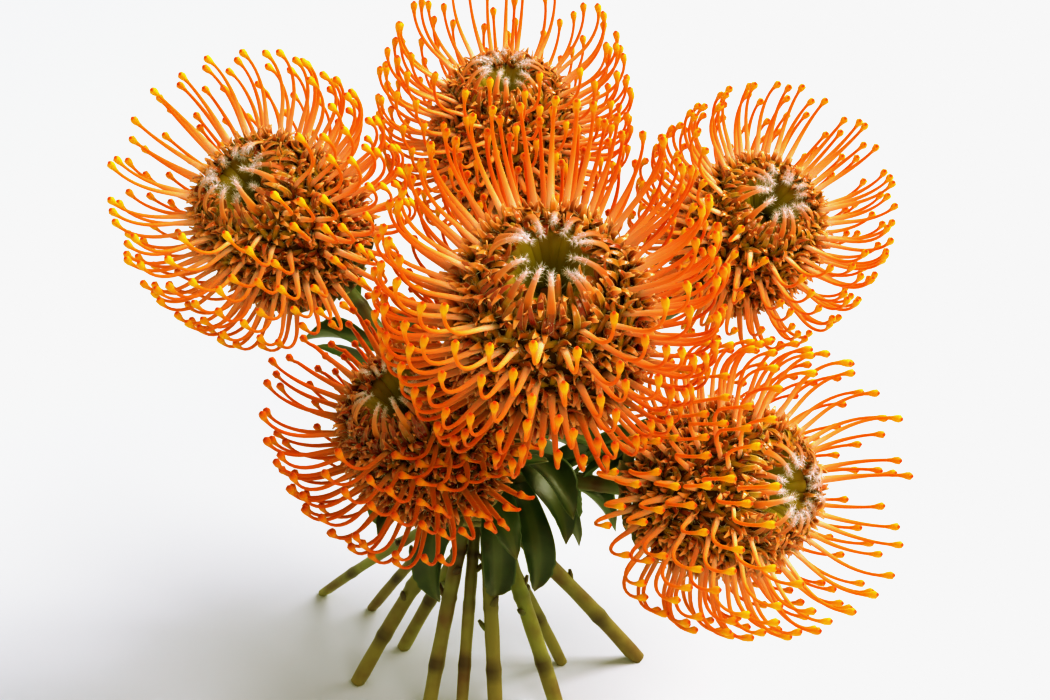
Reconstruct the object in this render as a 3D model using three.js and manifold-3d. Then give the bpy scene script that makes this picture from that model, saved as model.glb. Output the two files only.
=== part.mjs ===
// A hand-tied bunch of six pincushion protea flowers, standing unheld on the splayed ends of its stems.
// Units are millimetres and +Z is up. The cut ends stand on z = 0, and the bunch is first laid out round
// the upright line through its tie, then moved so that the origin is under the middle of its outline.
import * as THREE from "three";
import { mergeVertices } from "three/addons/utils/BufferGeometryUtils.js";
import Module from "manifold-3d";

const wasm = await Module();
wasm.setup();

const { Vector2, Vector3, Matrix4 } = THREE;

// From the line through the tie to the middle of the bunch's outline
const OUTLINE_MIDDLE = new Vector3(15.1, -3.07, 0);

// Clearance between pieces that touch on the real bunch
const GAP = 0.35;
const GAP_SEARCH = 1;
const FACE_TOLERANCE = 0.01;

// The tie round the waist of the stems
const TIE_HEIGHT = 80;
const TIE_INNER_RADIUS = 13.8;
const TIE_TURN_RADIUS = 1.3;
const TIE_TURNS = 3;
const TIE_SIDES = 16;
const TIE_ARC_STEPS = 3;

// A head of size 1, along its own axis: heights are from the middle of the head. The barrel draws in
// towards both ends, and outlines are points of radius and height.
const BODY_RADIUS = 31;
const BODY_BOTTOM = -35;
const BODY_RIM = 26;
const BODY_DRAW_IN = 0.42;
const BODY_DRAW_POWER = 2.6;
const BODY_SIDES = 18;
const FOOT_OUTLINE = [[0, BODY_BOTTOM], [5, BODY_BOTTOM], [17.6, -31]];
const BARREL_HEIGHTS = [-22, -13, -4, 5, 14, 20];
const HOLLOW_OUTLINE = [[20.5, 25], [16, BODY_RIM], [12.5, 20], [6, 15], [0, 13]];

// Florets stand out of the body wherever its outline is wider than their least radius.
const FLORET_LEAST_RADIUS = 9;
const FLORET_RISE = 3.4;
const FLORET_GAP_DEPTH = 0.8;

// The styles of a head of size 1. Pairs are for the lowest row and the top row: the height of the root,
// the slant at which a style leaves the body, and the angle of its hook, which starts and ends at a share
// of its length.
const STYLE_COUNT = 46;
const STYLE_LENGTH = 42;
const STYLE_ROOT_HEIGHT = [-23, 19];
const STYLE_ROOT_SINK = 2.5;
const STYLE_SLANT_DEGREES = [-8, 40];
const STYLE_HOOK_DEGREES = [108, 58];
const STYLE_HOOK_START = 0.44;
const STYLE_HOOK_END = 0.86;
const STYLE_BOW = 0.1;
const STYLE_JITTER = 0.12;
const STYLE_TURN_STEPS = [0, 7, -7, 14, -14, 21, -21];
const STYLE_STEPS = 16;
const STYLE_CLUB_RADIUS = 1.6;
const STYLE_SECTIONS = [
  { step: 0, radius: 1.5 },
  { step: 8, radius: 1.15 },
  { step: 11, radius: 0.85 },
  { step: 15, radius: STYLE_CLUB_RADIUS },
  { step: 16, radius: 0 },
];
const GOLDEN_ANGLE = Math.PI * (3 - Math.sqrt(5));

// Each head: the middle of its body, the way it faces, its size, and the radius it holds of the room
// between it and its neighbours
const HEADS = [
  { name: "head_1", centre: [27, -78, 193], axis: [0, -0.54, 0.84], size: 1.05, hold: 66 },
  { name: "head_2", centre: [-72, 11, 192], axis: [-0.42, -0.51, 0.75], size: 0.92, hold: 54 },
  { name: "head_3", centre: [-17, -52, 136], axis: [-0.37, -0.45, 0.81], size: 0.88, hold: 43 },
  { name: "head_4", centre: [91, -54, 114], axis: [0.72, -0.6, 0.33], size: 0.94, hold: 53 },
  { name: "head_5", centre: [107, 51, 171], axis: [0.3, -0.6, 0.74], size: 0.875, hold: 50 },
  { name: "head_6", centre: [11, 88, 199], axis: [0, -0.24, 0.97], size: 0.9, hold: 50 },
];

// Each stem: its cut end, its place at the waist as degrees and distance from the line through the tie, its
// radius, the head or point it ends at, and its number of leaves with the place of the lowest along it
const STEMS = [
  { name: "stem_1", foot: [-68, 60], waist: [156, 10.5], radius: 2, tip: [-44, 44, 138], leaves: [3, 0.6] },
  { name: "stem_2", foot: [-46, 48], waist: [115, 10.7], radius: 2.1, tip: [-14, 58, 148], leaves: [4, 0.58] },
  { name: "stem_3", foot: [-48, -7], waist: [205, 9.95], radius: 2.9, head: 1, leaves: [3, 0.57] },
  { name: "stem_4", foot: [-31, 18], waist: [66, 9.8], radius: 2.6, head: 5, leaves: [4, 0.56] },
  { name: "stem_5", foot: [-19, -29], waist: [240, 9.78], radius: 2.8, head: 2, leaves: [5, 0.54] },
  { name: "stem_6", foot: [-6, -37], waist: [268, 3.5], radius: 2.3, tip: [2, -8, 142], leaves: [9, 0.54] },
  { name: "stem_7", foot: [8, -39], waist: [296, 10.25], radius: 2.8, head: 0, leaves: [8, 0.54] },
  { name: "stem_8", foot: [32, -26], waist: [336, 9.04], radius: 3, head: 3, leaves: [8, 0.54] },
  { name: "stem_9", foot: [34, 7], waist: [42, 4.1], radius: 2.3, tip: [50, 8, 138], leaves: [8, 0.54] },
  { name: "stem_10", foot: [65, 10], waist: [23, 9.2], radius: 3, head: 4, leaves: [5, 0.57] },
];
const STEM_SIDES = 6;
const STEM_STATIONS = [0, 0.2, 0.24, 0.28, 0.37, 0.43, 0.5, 0.55, 0.65, 0.78, 0.9, 1];
const STEM_NODE_STATIONS = [0.24, 0.37];
const STEM_NODE_SWELL = 1.25;
const STEM_TIP_THINNING = 0.8;
const STEM_PAST_FLOOR = 14;
const FLOOR_SIZE = 400;
const FLOOR_DEPTH = 60;
const STEM_NECK = 4;

// How a stem bends: the share of its lower part that stays straight, the heights near the tie over which it
// runs upright, and the shares of its upper part that lean up from the tie and along its head's axis
const STEM_STRAIGHT = 0.72;
const WAIST_UPRIGHT = 16;
const STEM_LEAVE = 0.3;
const STEM_APPROACH = 0.36;

// A full leaf, before it is bent or shortened to lie clear of what is round it
const LEAF_LENGTH = 42;
const LEAF_HALF_WIDTH = 7.2;
const LEAF_HALF_THICKNESS = 0.7;
const LEAF_STATIONS = [
  { along: 0, width: 0.12 },
  { along: 0.3, width: 0.72 },
  { along: 0.58, width: 1.0 },
  { along: 0.84, width: 0.74 },
  { along: 1, width: 0 },
];
const LEAF_SIDES = 4;

// Leaves are set up to this place along a stem. The lowest spread and bow over, the highest climb: pairs
// are for the lowest and the highest, in radians.
const LEAF_HIGHEST = 0.9;
const LEAF_CLIMB = [0.3, 0.95];
const LEAF_DROOP = [1.6, 0.4];
const LEAF_LOWEST_AT = 0.54;
const LEAF_HEIGHT_GAIN = 4;
const LEAF_HEIGHT_JITTER = 0.3;
const LEAF_HEADING_JITTER = 1.6;
const LEAF_NARROWING = 0.6;
const LEAF_SHRINK_STEPS = [1, 0.84, 0.68, 0.54, 0.42];
const LEAF_TURN_STEPS = [0, 25, -25, 50, -50, 80, -80];

const FINISH = {
  head: { color: 0xe8701a, roughness: 0.55 },
  stem: { color: 0x6d7a2c, roughness: 0.6 },
  tie: { color: 0x8a7a4a, roughness: 0.9 },
};

// The same draw for the same whole number, from 0 to 1
function draw(seed) {
  const wave = Math.sin(seed * 12.9898 + 4.1414) * 43758.5453;
  return wave - Math.floor(wave);
}

function mix(a, b, t) {
  return a + (b - a) * t;
}

// The solid of a closed geometry: its shared points are merged, and faces with no area at its poles go.
function solidOf(geometry) {
  geometry.deleteAttribute("normal");
  geometry.deleteAttribute("uv");
  const merged = mergeVertices(geometry, 1e-4);
  const corners = merged.index.array;
  const faces = [];
  for (let i = 0; i < corners.length; i += 3) {
    const [a, b, c] = [corners[i], corners[i + 1], corners[i + 2]];
    if (a !== b && b !== c && c !== a) {
      faces.push(a, b, c);
    }
  }
  const vertProperties = new Float32Array(merged.attributes.position.array);
  const triVerts = new Uint32Array(faces);
  return new wasm.Manifold(new wasm.Mesh({ numProp: 3, vertProperties, triVerts }));
}

// The largest body of a solid, without the loose scraps that a cut can leave
function mainBody(solid) {
  const bodies = solid.decompose();
  return bodies.reduce((most, body) => (body.volume() > most.volume() ? body : most));
}

function geometryOf(solid) {
  const { vertProperties, triVerts } = solid.getMesh();
  const geometry = new THREE.BufferGeometry();
  geometry.setAttribute("position", new THREE.BufferAttribute(vertProperties, 3));
  geometry.setIndex(new THREE.BufferAttribute(triVerts, 1));
  geometry.computeVertexNormals();
  return geometry;
}

function meshOf(name, solid, finish) {
  const material = new THREE.MeshStandardMaterial({ ...finish, metalness: 0, flatShading: true });
  const mesh = new THREE.Mesh(geometryOf(solid), material);
  mesh.name = name;
  return mesh;
}

// A profile turned round the Y axis and then bent along a path. Each station gives its point on the path,
// its half width along `side` and its half thickness across it. Both ends close in a point or a flat cap.
function bentSolid(stations, side, sides) {
  const profile = stations.map((station, row) => new Vector2(station.width > 0 ? 1 : 0, row));
  const geometry = new THREE.LatheGeometry(profile, sides);
  const frames = framesAlong(stations.map((station) => station.point), side);
  const position = geometry.attributes.position;
  const vertex = new Vector3();
  for (let i = 0; i < position.count; i += 1) {
    vertex.fromBufferAttribute(position, i);
    const row = Math.round(vertex.y);
    const { point, width, thickness } = stations[row];
    const { across, up } = frames[row];
    const placed = point
      .clone()
      .addScaledVector(across, vertex.x * width)
      .addScaledVector(up, -vertex.z * thickness);
    position.setXYZ(i, placed.x, placed.y, placed.z);
  }
  return solidOf(geometry);
}

// Directions across a path at each of its points, carried along it without twisting
function framesAlong(points, side) {
  const last = points.length - 1;
  const across = side.clone();
  return points.map((point, i) => {
    const tangent = points[Math.min(i + 1, last)].clone().sub(points[Math.max(i - 1, 0)]);
    tangent.normalize();
    across.addScaledVector(tangent, -across.dot(tangent)).normalize();
    return { across: across.clone(), up: new Vector3().crossVectors(across, tangent).negate() };
  });
}

// A round or flat bar whose ends are closed by a cap at its first and last station
function cappedBar(stations, side, sides) {
  const first = { ...stations[0], width: 0, thickness: 0 };
  const last = { ...stations[stations.length - 1], width: 0, thickness: 0 };
  const open = stations[stations.length - 1].width > 0 ? [...stations, last] : stations;
  return bentSolid([first, ...open], side, sides);
}

// The body of a head

// Radius of the barrel at a height on its axis
function bodyRadius(height) {
  const middle = (BODY_BOTTOM + BODY_RIM) / 2;
  const half = (BODY_RIM - BODY_BOTTOM) / 2;
  const fraction = Math.min(Math.abs(height - middle) / half, 1);
  return BODY_RADIUS * (1 - BODY_DRAW_IN * fraction ** BODY_DRAW_POWER);
}

// The turned outline of the body: flat foot, barrel, rim, and the wall and floor of the hollow
function bodyProfile() {
  const barrel = BARREL_HEIGHTS.map((height) => [bodyRadius(height), height]);
  const outline = [...FOOT_OUTLINE, ...barrel, ...HOLLOW_OUTLINE];
  return outline.map(([radius, height]) => new Vector2(radius, height));
}

// Florets stand out of the barrel and its rim as staggered knuckles: every third point of each row is
// raised, a column further on each row, and the points between them lie a little inside the outline.
function bodySolid(head) {
  const profile = bodyProfile();
  const geometry = new THREE.LatheGeometry(profile, BODY_SIDES);
  const position = geometry.attributes.position;
  const vertex = new Vector3();
  for (let i = 0; i < position.count; i += 1) {
    vertex.fromBufferAttribute(position, i);
    const row = i % profile.length;
    const column = Math.floor(i / profile.length) % BODY_SIDES;
    const radius = Math.hypot(vertex.x, vertex.z);
    if (radius > FLORET_LEAST_RADIUS) {
      const raised = (column - row + profile.length * 3) % 3 === 0;
      const scale = 1 + (raised ? FLORET_RISE : -FLORET_GAP_DEPTH) / radius;
      position.setXYZ(i, vertex.x * scale, vertex.y, vertex.z * scale);
    }
  }
  geometry.applyMatrix4(headMatrix(head));
  return solidOf(geometry);
}

// A head's own frame: Y runs along its axis, and X is level
function headMatrix(head) {
  const axis = new Vector3(...head.axis).normalize();
  const level = new Vector3(0, 0, 1).cross(axis).normalize().negate();
  const third = new Vector3().crossVectors(level, axis);
  return new Matrix4()
    .makeBasis(level, axis, third)
    .scale(new Vector3(head.size, head.size, head.size))
    .setPosition(...head.centre);
}

// The styles of a head

// Points along one style in the head's frame. `rise` is 0 at the lowest row and 1 at the top row. The
// style leaves the body at a slant that grows with rise, then hooks over towards the way the head faces.
function stylePoints(rise, azimuth) {
  const rootHeight = mix(...STYLE_ROOT_HEIGHT, rise);
  const slant = THREE.MathUtils.degToRad(mix(...STYLE_SLANT_DEGREES, rise));
  const hook = THREE.MathUtils.degToRad(mix(...STYLE_HOOK_DEGREES, rise));
  const step = STYLE_LENGTH / STYLE_STEPS;
  const direction = (t) => {
    const turned = hook * THREE.MathUtils.smoothstep(t, STYLE_HOOK_START, STYLE_HOOK_END);
    return slant - STYLE_BOW * Math.sin(Math.PI * t) + turned;
  };
  let radius = bodyRadius(rootHeight) - STYLE_ROOT_SINK;
  let height = rootHeight;
  const points = [];
  for (let i = 0; i <= STYLE_STEPS; i += 1) {
    points.push(new Vector3(radius * Math.cos(azimuth), height, radius * Math.sin(azimuth)));
    const heading = direction((i + 0.5) / STYLE_STEPS);
    radius += Math.cos(heading) * step;
    height += Math.sin(heading) * step;
  }
  return points;
}

// The planes that part a head from its neighbours: the head with the larger hold keeps more of its shape.
function neighbourPlanes(head) {
  const centre = new Vector3(...head.centre);
  return HEADS.filter((other) => other !== head).map((other) => {
    const towards = new Vector3(...other.centre).sub(centre);
    const distance = towards.length();
    const reach = (distance ** 2 + head.hold ** 2 - other.hold ** 2) / (2 * distance);
    return { normal: towards.normalize(), reach, centre };
  });
}

// A point moved back to its own side of the planes, with room for the thickness of a style's club
function keepOwnSide(point, planes) {
  for (const { normal, reach, centre } of planes) {
    const past = point.clone().sub(centre).dot(normal) - reach + STYLE_CLUB_RADIUS + GAP;
    if (past > 0) {
      point.addScaledVector(normal, -past);
    }
  }
}

function styleSolid(matrix, planes, rise, azimuth) {
  const spine = stylePoints(rise, azimuth);
  const stations = STYLE_SECTIONS.map(({ step, radius }) => {
    const point = spine[step].clone().applyMatrix4(matrix);
    keepOwnSide(point, planes);
    return { point, width: radius, thickness: radius };
  });
  const side = new Vector3(-Math.sin(azimuth), 0, Math.cos(azimuth)).transformDirection(matrix);
  return cappedBar(stations, side, 3);
}

// A head with its styles fused to its body. A style that would touch a stem is turned clear of it.
function headSolid(head, obstacle) {
  const matrix = headMatrix(head);
  const planes = neighbourPlanes(head);
  const parts = [bodySolid(head)];
  for (let i = 0; i < STYLE_COUNT; i += 1) {
    const rise = (i + 0.5) / STYLE_COUNT;
    const azimuth = i * GOLDEN_ANGLE + STYLE_JITTER * (draw(i) - 0.5);
    const clear = STYLE_TURN_STEPS
      .map((turn) => azimuth + THREE.MathUtils.degToRad(turn))
      .map((turned) => styleSolid(matrix, planes, rise, turned))
      .find((style) => style.minGap(obstacle, GAP_SEARCH) >= GAP);
    if (clear) {
      parts.push(clear);
    }
  }
  return mainBody(wasm.Manifold.union(parts)).simplify(FACE_TOLERANCE);
}

// The stems

function waistPoint(stem) {
  const [degrees, reach] = stem.waist;
  const angle = THREE.MathUtils.degToRad(degrees);
  return new Vector3(reach * Math.cos(angle), reach * Math.sin(angle), TIE_HEIGHT);
}

// The line of a stem: straight up from its foot, upright through the tie, then out to its head or tip
function stemCurve(stem) {
  const foot = new Vector3(...stem.foot, 0);
  const waist = waistPoint(stem);
  const below = foot.clone().lerp(waist, -STEM_PAST_FLOOR / TIE_HEIGHT);
  const bend = foot.clone().lerp(waist, STEM_STRAIGHT);
  const lower = new THREE.CubicBezierCurve3(below, bend, upright(waist, -WAIST_UPRIGHT), waist);
  let end = null;
  let arrival = new Vector3(0, 0, 1);
  if (stem.head === undefined) {
    end = new Vector3(...stem.tip);
    arrival = end.clone().sub(waist).normalize();
  } else {
    const head = HEADS[stem.head];
    arrival = new Vector3(...head.axis).normalize();
    end = new Vector3(...head.centre).addScaledVector(arrival, BODY_BOTTOM * head.size - GAP);
  }
  const neck = end.clone().addScaledVector(arrival, -STEM_NECK);
  const span = neck.distanceTo(waist);
  const leave = upright(waist, Math.max(span * STEM_LEAVE, WAIST_UPRIGHT));
  const approach = neck.clone().addScaledVector(arrival, -span * STEM_APPROACH);
  const upper = new THREE.CubicBezierCurve3(waist, leave, approach, neck);
  return { lower, upper, end };
}

function upright(point, rise) {
  return point.clone().add(new Vector3(0, 0, rise));
}

// Points on a stem from 0, below the floor, to 0.5 at the waist and 1 at the start of its neck
function stemPoint({ lower, upper }, t) {
  return t < 0.5 ? lower.getPoint(t * 2) : upper.getPoint(t * 2 - 1);
}

function stemTube(stem, curve) {
  const stations = STEM_STATIONS.map((t) => {
    const swell = STEM_NODE_STATIONS.includes(t) ? STEM_NODE_SWELL : 1;
    const thinning = t > 0.5 && stem.head === undefined ? STEM_TIP_THINNING : 1;
    const radius = stem.radius * swell * thinning;
    return { point: stemPoint(curve, t), width: radius, thickness: radius };
  });
  stations.push({ ...stations[stations.length - 1], point: curve.end });
  return cappedBar(stations, new Vector3(1, 0, 0), STEM_SIDES);
}

// What lies below the floor, where the stems are cut off
function floorBlock() {
  const block = new THREE.BoxGeometry(FLOOR_SIZE, FLOOR_SIZE, FLOOR_DEPTH);
  block.translate(0, 0, -FLOOR_DEPTH / 2);
  return solidOf(block);
}

// The leaves

// One leaf from a point on its stem: it leaves outward at a slope of `climb`, and bows over by `droop`.
function leafSolid(root, { heading, climb, droop, length, halfWidth }) {
  const outward = new Vector3(Math.cos(heading), Math.sin(heading), 0);
  const side = new Vector3(-Math.sin(heading), Math.cos(heading), 0);
  const stations = LEAF_STATIONS.map(({ along, width }) => {
    const slope = climb - droop * along;
    const point = root
      .clone()
      .addScaledVector(outward, Math.cos(slope) * length * along)
      .add(new Vector3(0, 0, Math.sin(slope) * length * along));
    return { point, width: width * halfWidth, thickness: width > 0 ? LEAF_HALF_THICKNESS : 0 };
  });
  return cappedBar(stations, side, LEAF_SIDES);
}

// How leaf k of stem i first lies: it heads outward from the bunch, and climbs more the higher it sits.
function leafPose(root, t, i, k) {
  const outward = Math.atan2(root.y, root.x);
  const heading = outward + LEAF_HEADING_JITTER * (draw(31 * i + k) - 0.5);
  const jitter = LEAF_HEIGHT_JITTER * (draw(13 * i + 5 * k) - 0.5);
  const height = THREE.MathUtils.clamp((t - LEAF_LOWEST_AT) * LEAF_HEIGHT_GAIN + jitter, 0, 1);
  return { heading, climb: mix(...LEAF_CLIMB, height), droop: mix(...LEAF_DROOP, height) };
}

// A leaf that lies clear of every obstacle: it is turned or shortened until it does, or left out.
function clearLeaf(root, pose, obstacles) {
  for (const shrink of LEAF_SHRINK_STEPS) {
    for (const turn of LEAF_TURN_STEPS) {
      const heading = pose.heading + THREE.MathUtils.degToRad(turn);
      const length = LEAF_LENGTH * shrink;
      const halfWidth = LEAF_HALF_WIDTH * shrink ** LEAF_NARROWING;
      const leaf = leafSolid(root, { ...pose, heading, length, halfWidth });
      if (obstacles.every((obstacle) => leaf.minGap(obstacle, GAP_SEARCH) >= GAP)) {
        return leaf;
      }
    }
  }
  return null;
}

// The tie: turns of twine side by side, as one ring
function tieSolid() {
  const profile = [];
  for (let turn = 0; turn < TIE_TURNS; turn += 1) {
    const height = TIE_HEIGHT + (turn - (TIE_TURNS - 1) / 2) * 2 * TIE_TURN_RADIUS;
    for (let i = 0; i < TIE_ARC_STEPS; i += 1) {
      const angle = -Math.PI / 2 + (Math.PI * i) / TIE_ARC_STEPS;
      const radius = TIE_INNER_RADIUS + TIE_TURN_RADIUS * (1 + Math.cos(angle));
      profile.push(new Vector2(radius, height + TIE_TURN_RADIUS * Math.sin(angle)));
    }
  }
  const half = TIE_TURNS * TIE_TURN_RADIUS;
  profile.push(new Vector2(TIE_INNER_RADIUS, TIE_HEIGHT + half));
  profile.push(new Vector2(TIE_INNER_RADIUS, TIE_HEIGHT - half));
  profile.push(profile[0].clone());
  const geometry = new THREE.LatheGeometry(profile, TIE_SIDES);
  geometry.rotateX(Math.PI / 2);
  return solidOf(geometry);
}

// Building the bunch
const curves = STEMS.map(stemCurve);
const floor = floorBlock();
const tubes = STEMS.map((stem, i) => stemTube(stem, curves[i]).subtract(floor));
const allTubes = wasm.Manifold.union(tubes);
const tie = tieSolid();
const heads = HEADS.map((head) => headSolid(head, allTubes));

// Leaves are set stem by stem, each clear of the heads, the tie, the other stems and earlier leaves.
const leafyStems = [];
STEMS.forEach((stem, i) => {
  const others = tubes.filter((tube) => tube !== tubes[i]);
  const obstacles = [...heads, tie, ...others, ...leafyStems];
  const leaves = [];
  const [count, lowest] = stem.leaves;
  for (let k = 0; k < count; k += 1) {
    const t = mix(lowest, LEAF_HIGHEST, (k + draw(7 * i + k)) / count);
    const root = stemPoint(curves[i], t);
    const leaf = clearLeaf(root, leafPose(root, t, i, k), obstacles);
    if (leaf) {
      leaves.push(leaf);
    }
  }
  leafyStems.push(mainBody(wasm.Manifold.union([tubes[i], ...leaves])).simplify(FACE_TOLERANCE));
});

const bunch = new THREE.Group();
HEADS.forEach((head, i) => bunch.add(meshOf(head.name, heads[i], FINISH.head)));
STEMS.forEach((stem, i) => bunch.add(meshOf(stem.name, leafyStems[i], FINISH.stem)));
bunch.add(meshOf("tie", tie, FINISH.tie));
bunch.position.copy(OUTLINE_MIDDLE).negate();

export default bunch;
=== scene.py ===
"""Looks of a hand-tied bunch of pincushion protea flowers, standing on its splayed stems.

Lengths are millimetres in the bunch's own layout, whose upright line runs through the tie. Each mesh is
moved to the part's frame and turned into metres when it is made.
"""

import logging
import math
from dataclasses import dataclass
from enum import Enum

import bpy
import numpy as np
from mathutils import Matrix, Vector
from mathutils.bvhtree import BVHTree

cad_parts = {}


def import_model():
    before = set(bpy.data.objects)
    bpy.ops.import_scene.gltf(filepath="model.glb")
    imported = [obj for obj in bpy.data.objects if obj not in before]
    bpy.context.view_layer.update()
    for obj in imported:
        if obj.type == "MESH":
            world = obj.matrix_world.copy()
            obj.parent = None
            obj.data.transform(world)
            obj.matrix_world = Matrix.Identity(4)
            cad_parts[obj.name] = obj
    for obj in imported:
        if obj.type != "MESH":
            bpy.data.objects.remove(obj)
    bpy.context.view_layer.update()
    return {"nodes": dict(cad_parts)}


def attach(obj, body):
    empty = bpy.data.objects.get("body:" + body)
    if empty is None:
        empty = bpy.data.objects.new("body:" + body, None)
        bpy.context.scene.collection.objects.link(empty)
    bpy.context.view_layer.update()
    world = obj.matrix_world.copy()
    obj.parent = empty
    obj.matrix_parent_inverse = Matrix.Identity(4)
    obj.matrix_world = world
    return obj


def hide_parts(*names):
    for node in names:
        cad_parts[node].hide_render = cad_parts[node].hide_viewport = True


log = logging.getLogger("bunch")

Numbers = np.ndarray | float
Row = tuple[float, ...]
Range = tuple[float, float]
Triple = tuple[float, float, float]
Table = tuple[tuple[float, float], ...]
Stops = tuple[tuple[float, str], ...]

OUTLINE_MIDDLE = np.array([15.1, -3.07, 0.0])
UP = np.array([0, 0, 1.0])
GOLDEN_ANGLE = math.pi * (3 - math.sqrt(5))


# Numbers and curves


def draw(seed: Numbers) -> np.ndarray:
    """The same draw for the same number, from 0 to 1: the fraction of a large multiple of its sine."""
    wave = np.sin(np.asarray(seed, float) * 12.9898 + 4.1414) * 43758.5453
    return wave - np.floor(wave)


def swing(seed: Numbers) -> np.ndarray:
    """A draw from -0.5 to 0.5."""
    return draw(seed) - 0.5


def mix(a: Numbers, b: Numbers, t: Numbers) -> Numbers:
    """The value a share t of the way from a to b."""
    return a + (b - a) * t


def smoothstep(t: np.ndarray, low: Numbers, high: Numbers) -> np.ndarray:
    """0 below low and 1 above high, with the cubic 3k^2 - 2k^3 between them."""
    k = np.clip((t - low) / (high - low), 0, 1)
    return k * k * (3 - 2 * k)


def unit(v: np.ndarray) -> np.ndarray:
    """Vectors divided by their lengths."""
    return v / np.maximum(np.linalg.norm(v, axis=-1, keepdims=True), 1e-9)


def level(turn: Numbers) -> np.ndarray:
    """Level directions at angles round the upright axis: (cos, sin, 0)."""
    return np.stack([np.cos(turn), np.sin(turn), 0 * turn], -1)


def sideways(turn: Numbers) -> np.ndarray:
    """Level directions square to those at the same angles: (-sin, cos, 0)."""
    return np.stack([-np.sin(turn), np.cos(turn), 0 * turn], -1)


def round_axis(radius: Numbers, turn: np.ndarray, height: Numbers) -> np.ndarray:
    """Points at radii, angles and heights of the upright axis."""
    return np.stack([radius * np.cos(turn), radius * np.sin(turn), height + 0 * turn], -1)


def spaced(count: int, sway: np.ndarray, shift: float = 0.0) -> np.ndarray:
    """Angles in even steps round a full turn, all moved on by shift steps and each by its sway."""
    return (np.arange(count) + shift) * 2 * np.pi / count + sway


def walk(heading: np.ndarray, step: np.ndarray) -> tuple[np.ndarray, np.ndarray]:
    """How far out and up strands get: the running sums of step * cos(heading) and step * sin(heading)."""
    return np.cumsum(np.cos(heading) * step, 1), np.cumsum(np.sin(heading) * step, 1)


def bezier(points: list[np.ndarray], t: np.ndarray) -> np.ndarray:
    """Points on a cubic Bezier curve: its four corners weighted by the Bernstein polynomials of t.

    Args:
        points: The four corners.
        t: Shares of the way along.

    Returns:
        One point for each share.
    """
    t = t[:, None]
    a, b, c, d = points
    return a * (1 - t) ** 3 + 3 * b * t * (1 - t) ** 2 + 3 * c * t**2 * (1 - t) + d * t**3


def along_table(table: Table, t: np.ndarray) -> np.ndarray:
    """Values read from a table of places and values, straight between them."""
    places, values = zip(*table)
    return np.interp(t, places, values)


def linear(hexa: str) -> tuple[float, float, float, float]:
    """The colour of a hex code as the linear values that a shader takes.

    Args:
        hexa: The code, with its hash sign.

    Returns:
        Red, green, blue and an alpha of 1.
    """
    parts = [int(hexa[i : i + 2], 16) / 255 for i in (1, 3, 5)]
    return (*[p / 12.92 if p <= 0.04045 else ((p + 0.055) / 1.055) ** 2.4 for p in parts], 1.0)


# Meshes


class Skin(Enum):
    """The finishes that the faces of a piece can have."""

    CORE = 0
    FLORET = 1
    STYLE = 2
    HOLLOW = 3
    CROWN = 4
    HAIR = 5
    BARK = 6
    LEAF = 7
    TWINE = 8
    BRACT = 9


Materials = dict[Skin, bpy.types.Material]
Socket = bpy.types.NodeSocket


@dataclass
class Surface:
    """Points and four-sided faces with the values that materials read at each point.

    along runs from a strand's root to its tip, edge is 1 at its two sides, top is 1 on its upper face,
    and tone is one draw for each strand.
    """

    points: np.ndarray
    faces: np.ndarray
    along: np.ndarray
    edge: np.ndarray
    top: np.ndarray
    tone: np.ndarray
    skin: np.ndarray

    @staticmethod
    def join(parts: list["Surface"]) -> "Surface":
        """One surface of several, with their faces counted on.

        Args:
            parts: The surfaces.

        Returns:
            The joined surface.
        """
        starts = np.cumsum([0] + [len(p.points) for p in parts[:-1]])
        faces = np.concatenate([p.faces + start for p, start in zip(parts, starts)])
        names = ("points", "along", "edge", "top", "tone", "skin")
        values = {name: np.concatenate([getattr(p, name) for p in parts]) for name in names}
        return Surface(faces=faces, **values)


def ring_faces(strands: int, stations: int, sides: int) -> np.ndarray:
    """Faces of strands whose points are numbered strand by strand, station by station, round each ring.

    Args:
        strands: The number of strands.
        stations: The number of rings of each strand.
        sides: The number of points of each ring, which is even.

    Returns:
        The four corner numbers of each face, facing outwards. A fan of faces fills each end.
    """
    s, j = np.meshgrid(np.arange(stations - 1), np.arange(sides), indexing="ij")
    k = (j + 1) % sides
    walls = np.stack([s * sides + j, s * sides + k, (s + 1) * sides + k, (s + 1) * sides + j], -1)
    m = np.arange((sides - 2) // 2)
    fan = np.stack([0 * m, 2 * m + 1, 2 * m + 2, 2 * m + 3], -1)
    faces = np.concatenate([walls.reshape(-1, 4), fan[:, ::-1], fan + (stations - 1) * sides])
    return (faces[None] + (np.arange(strands) * stations * sides)[:, None, None]).reshape(-1, 4)


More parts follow.
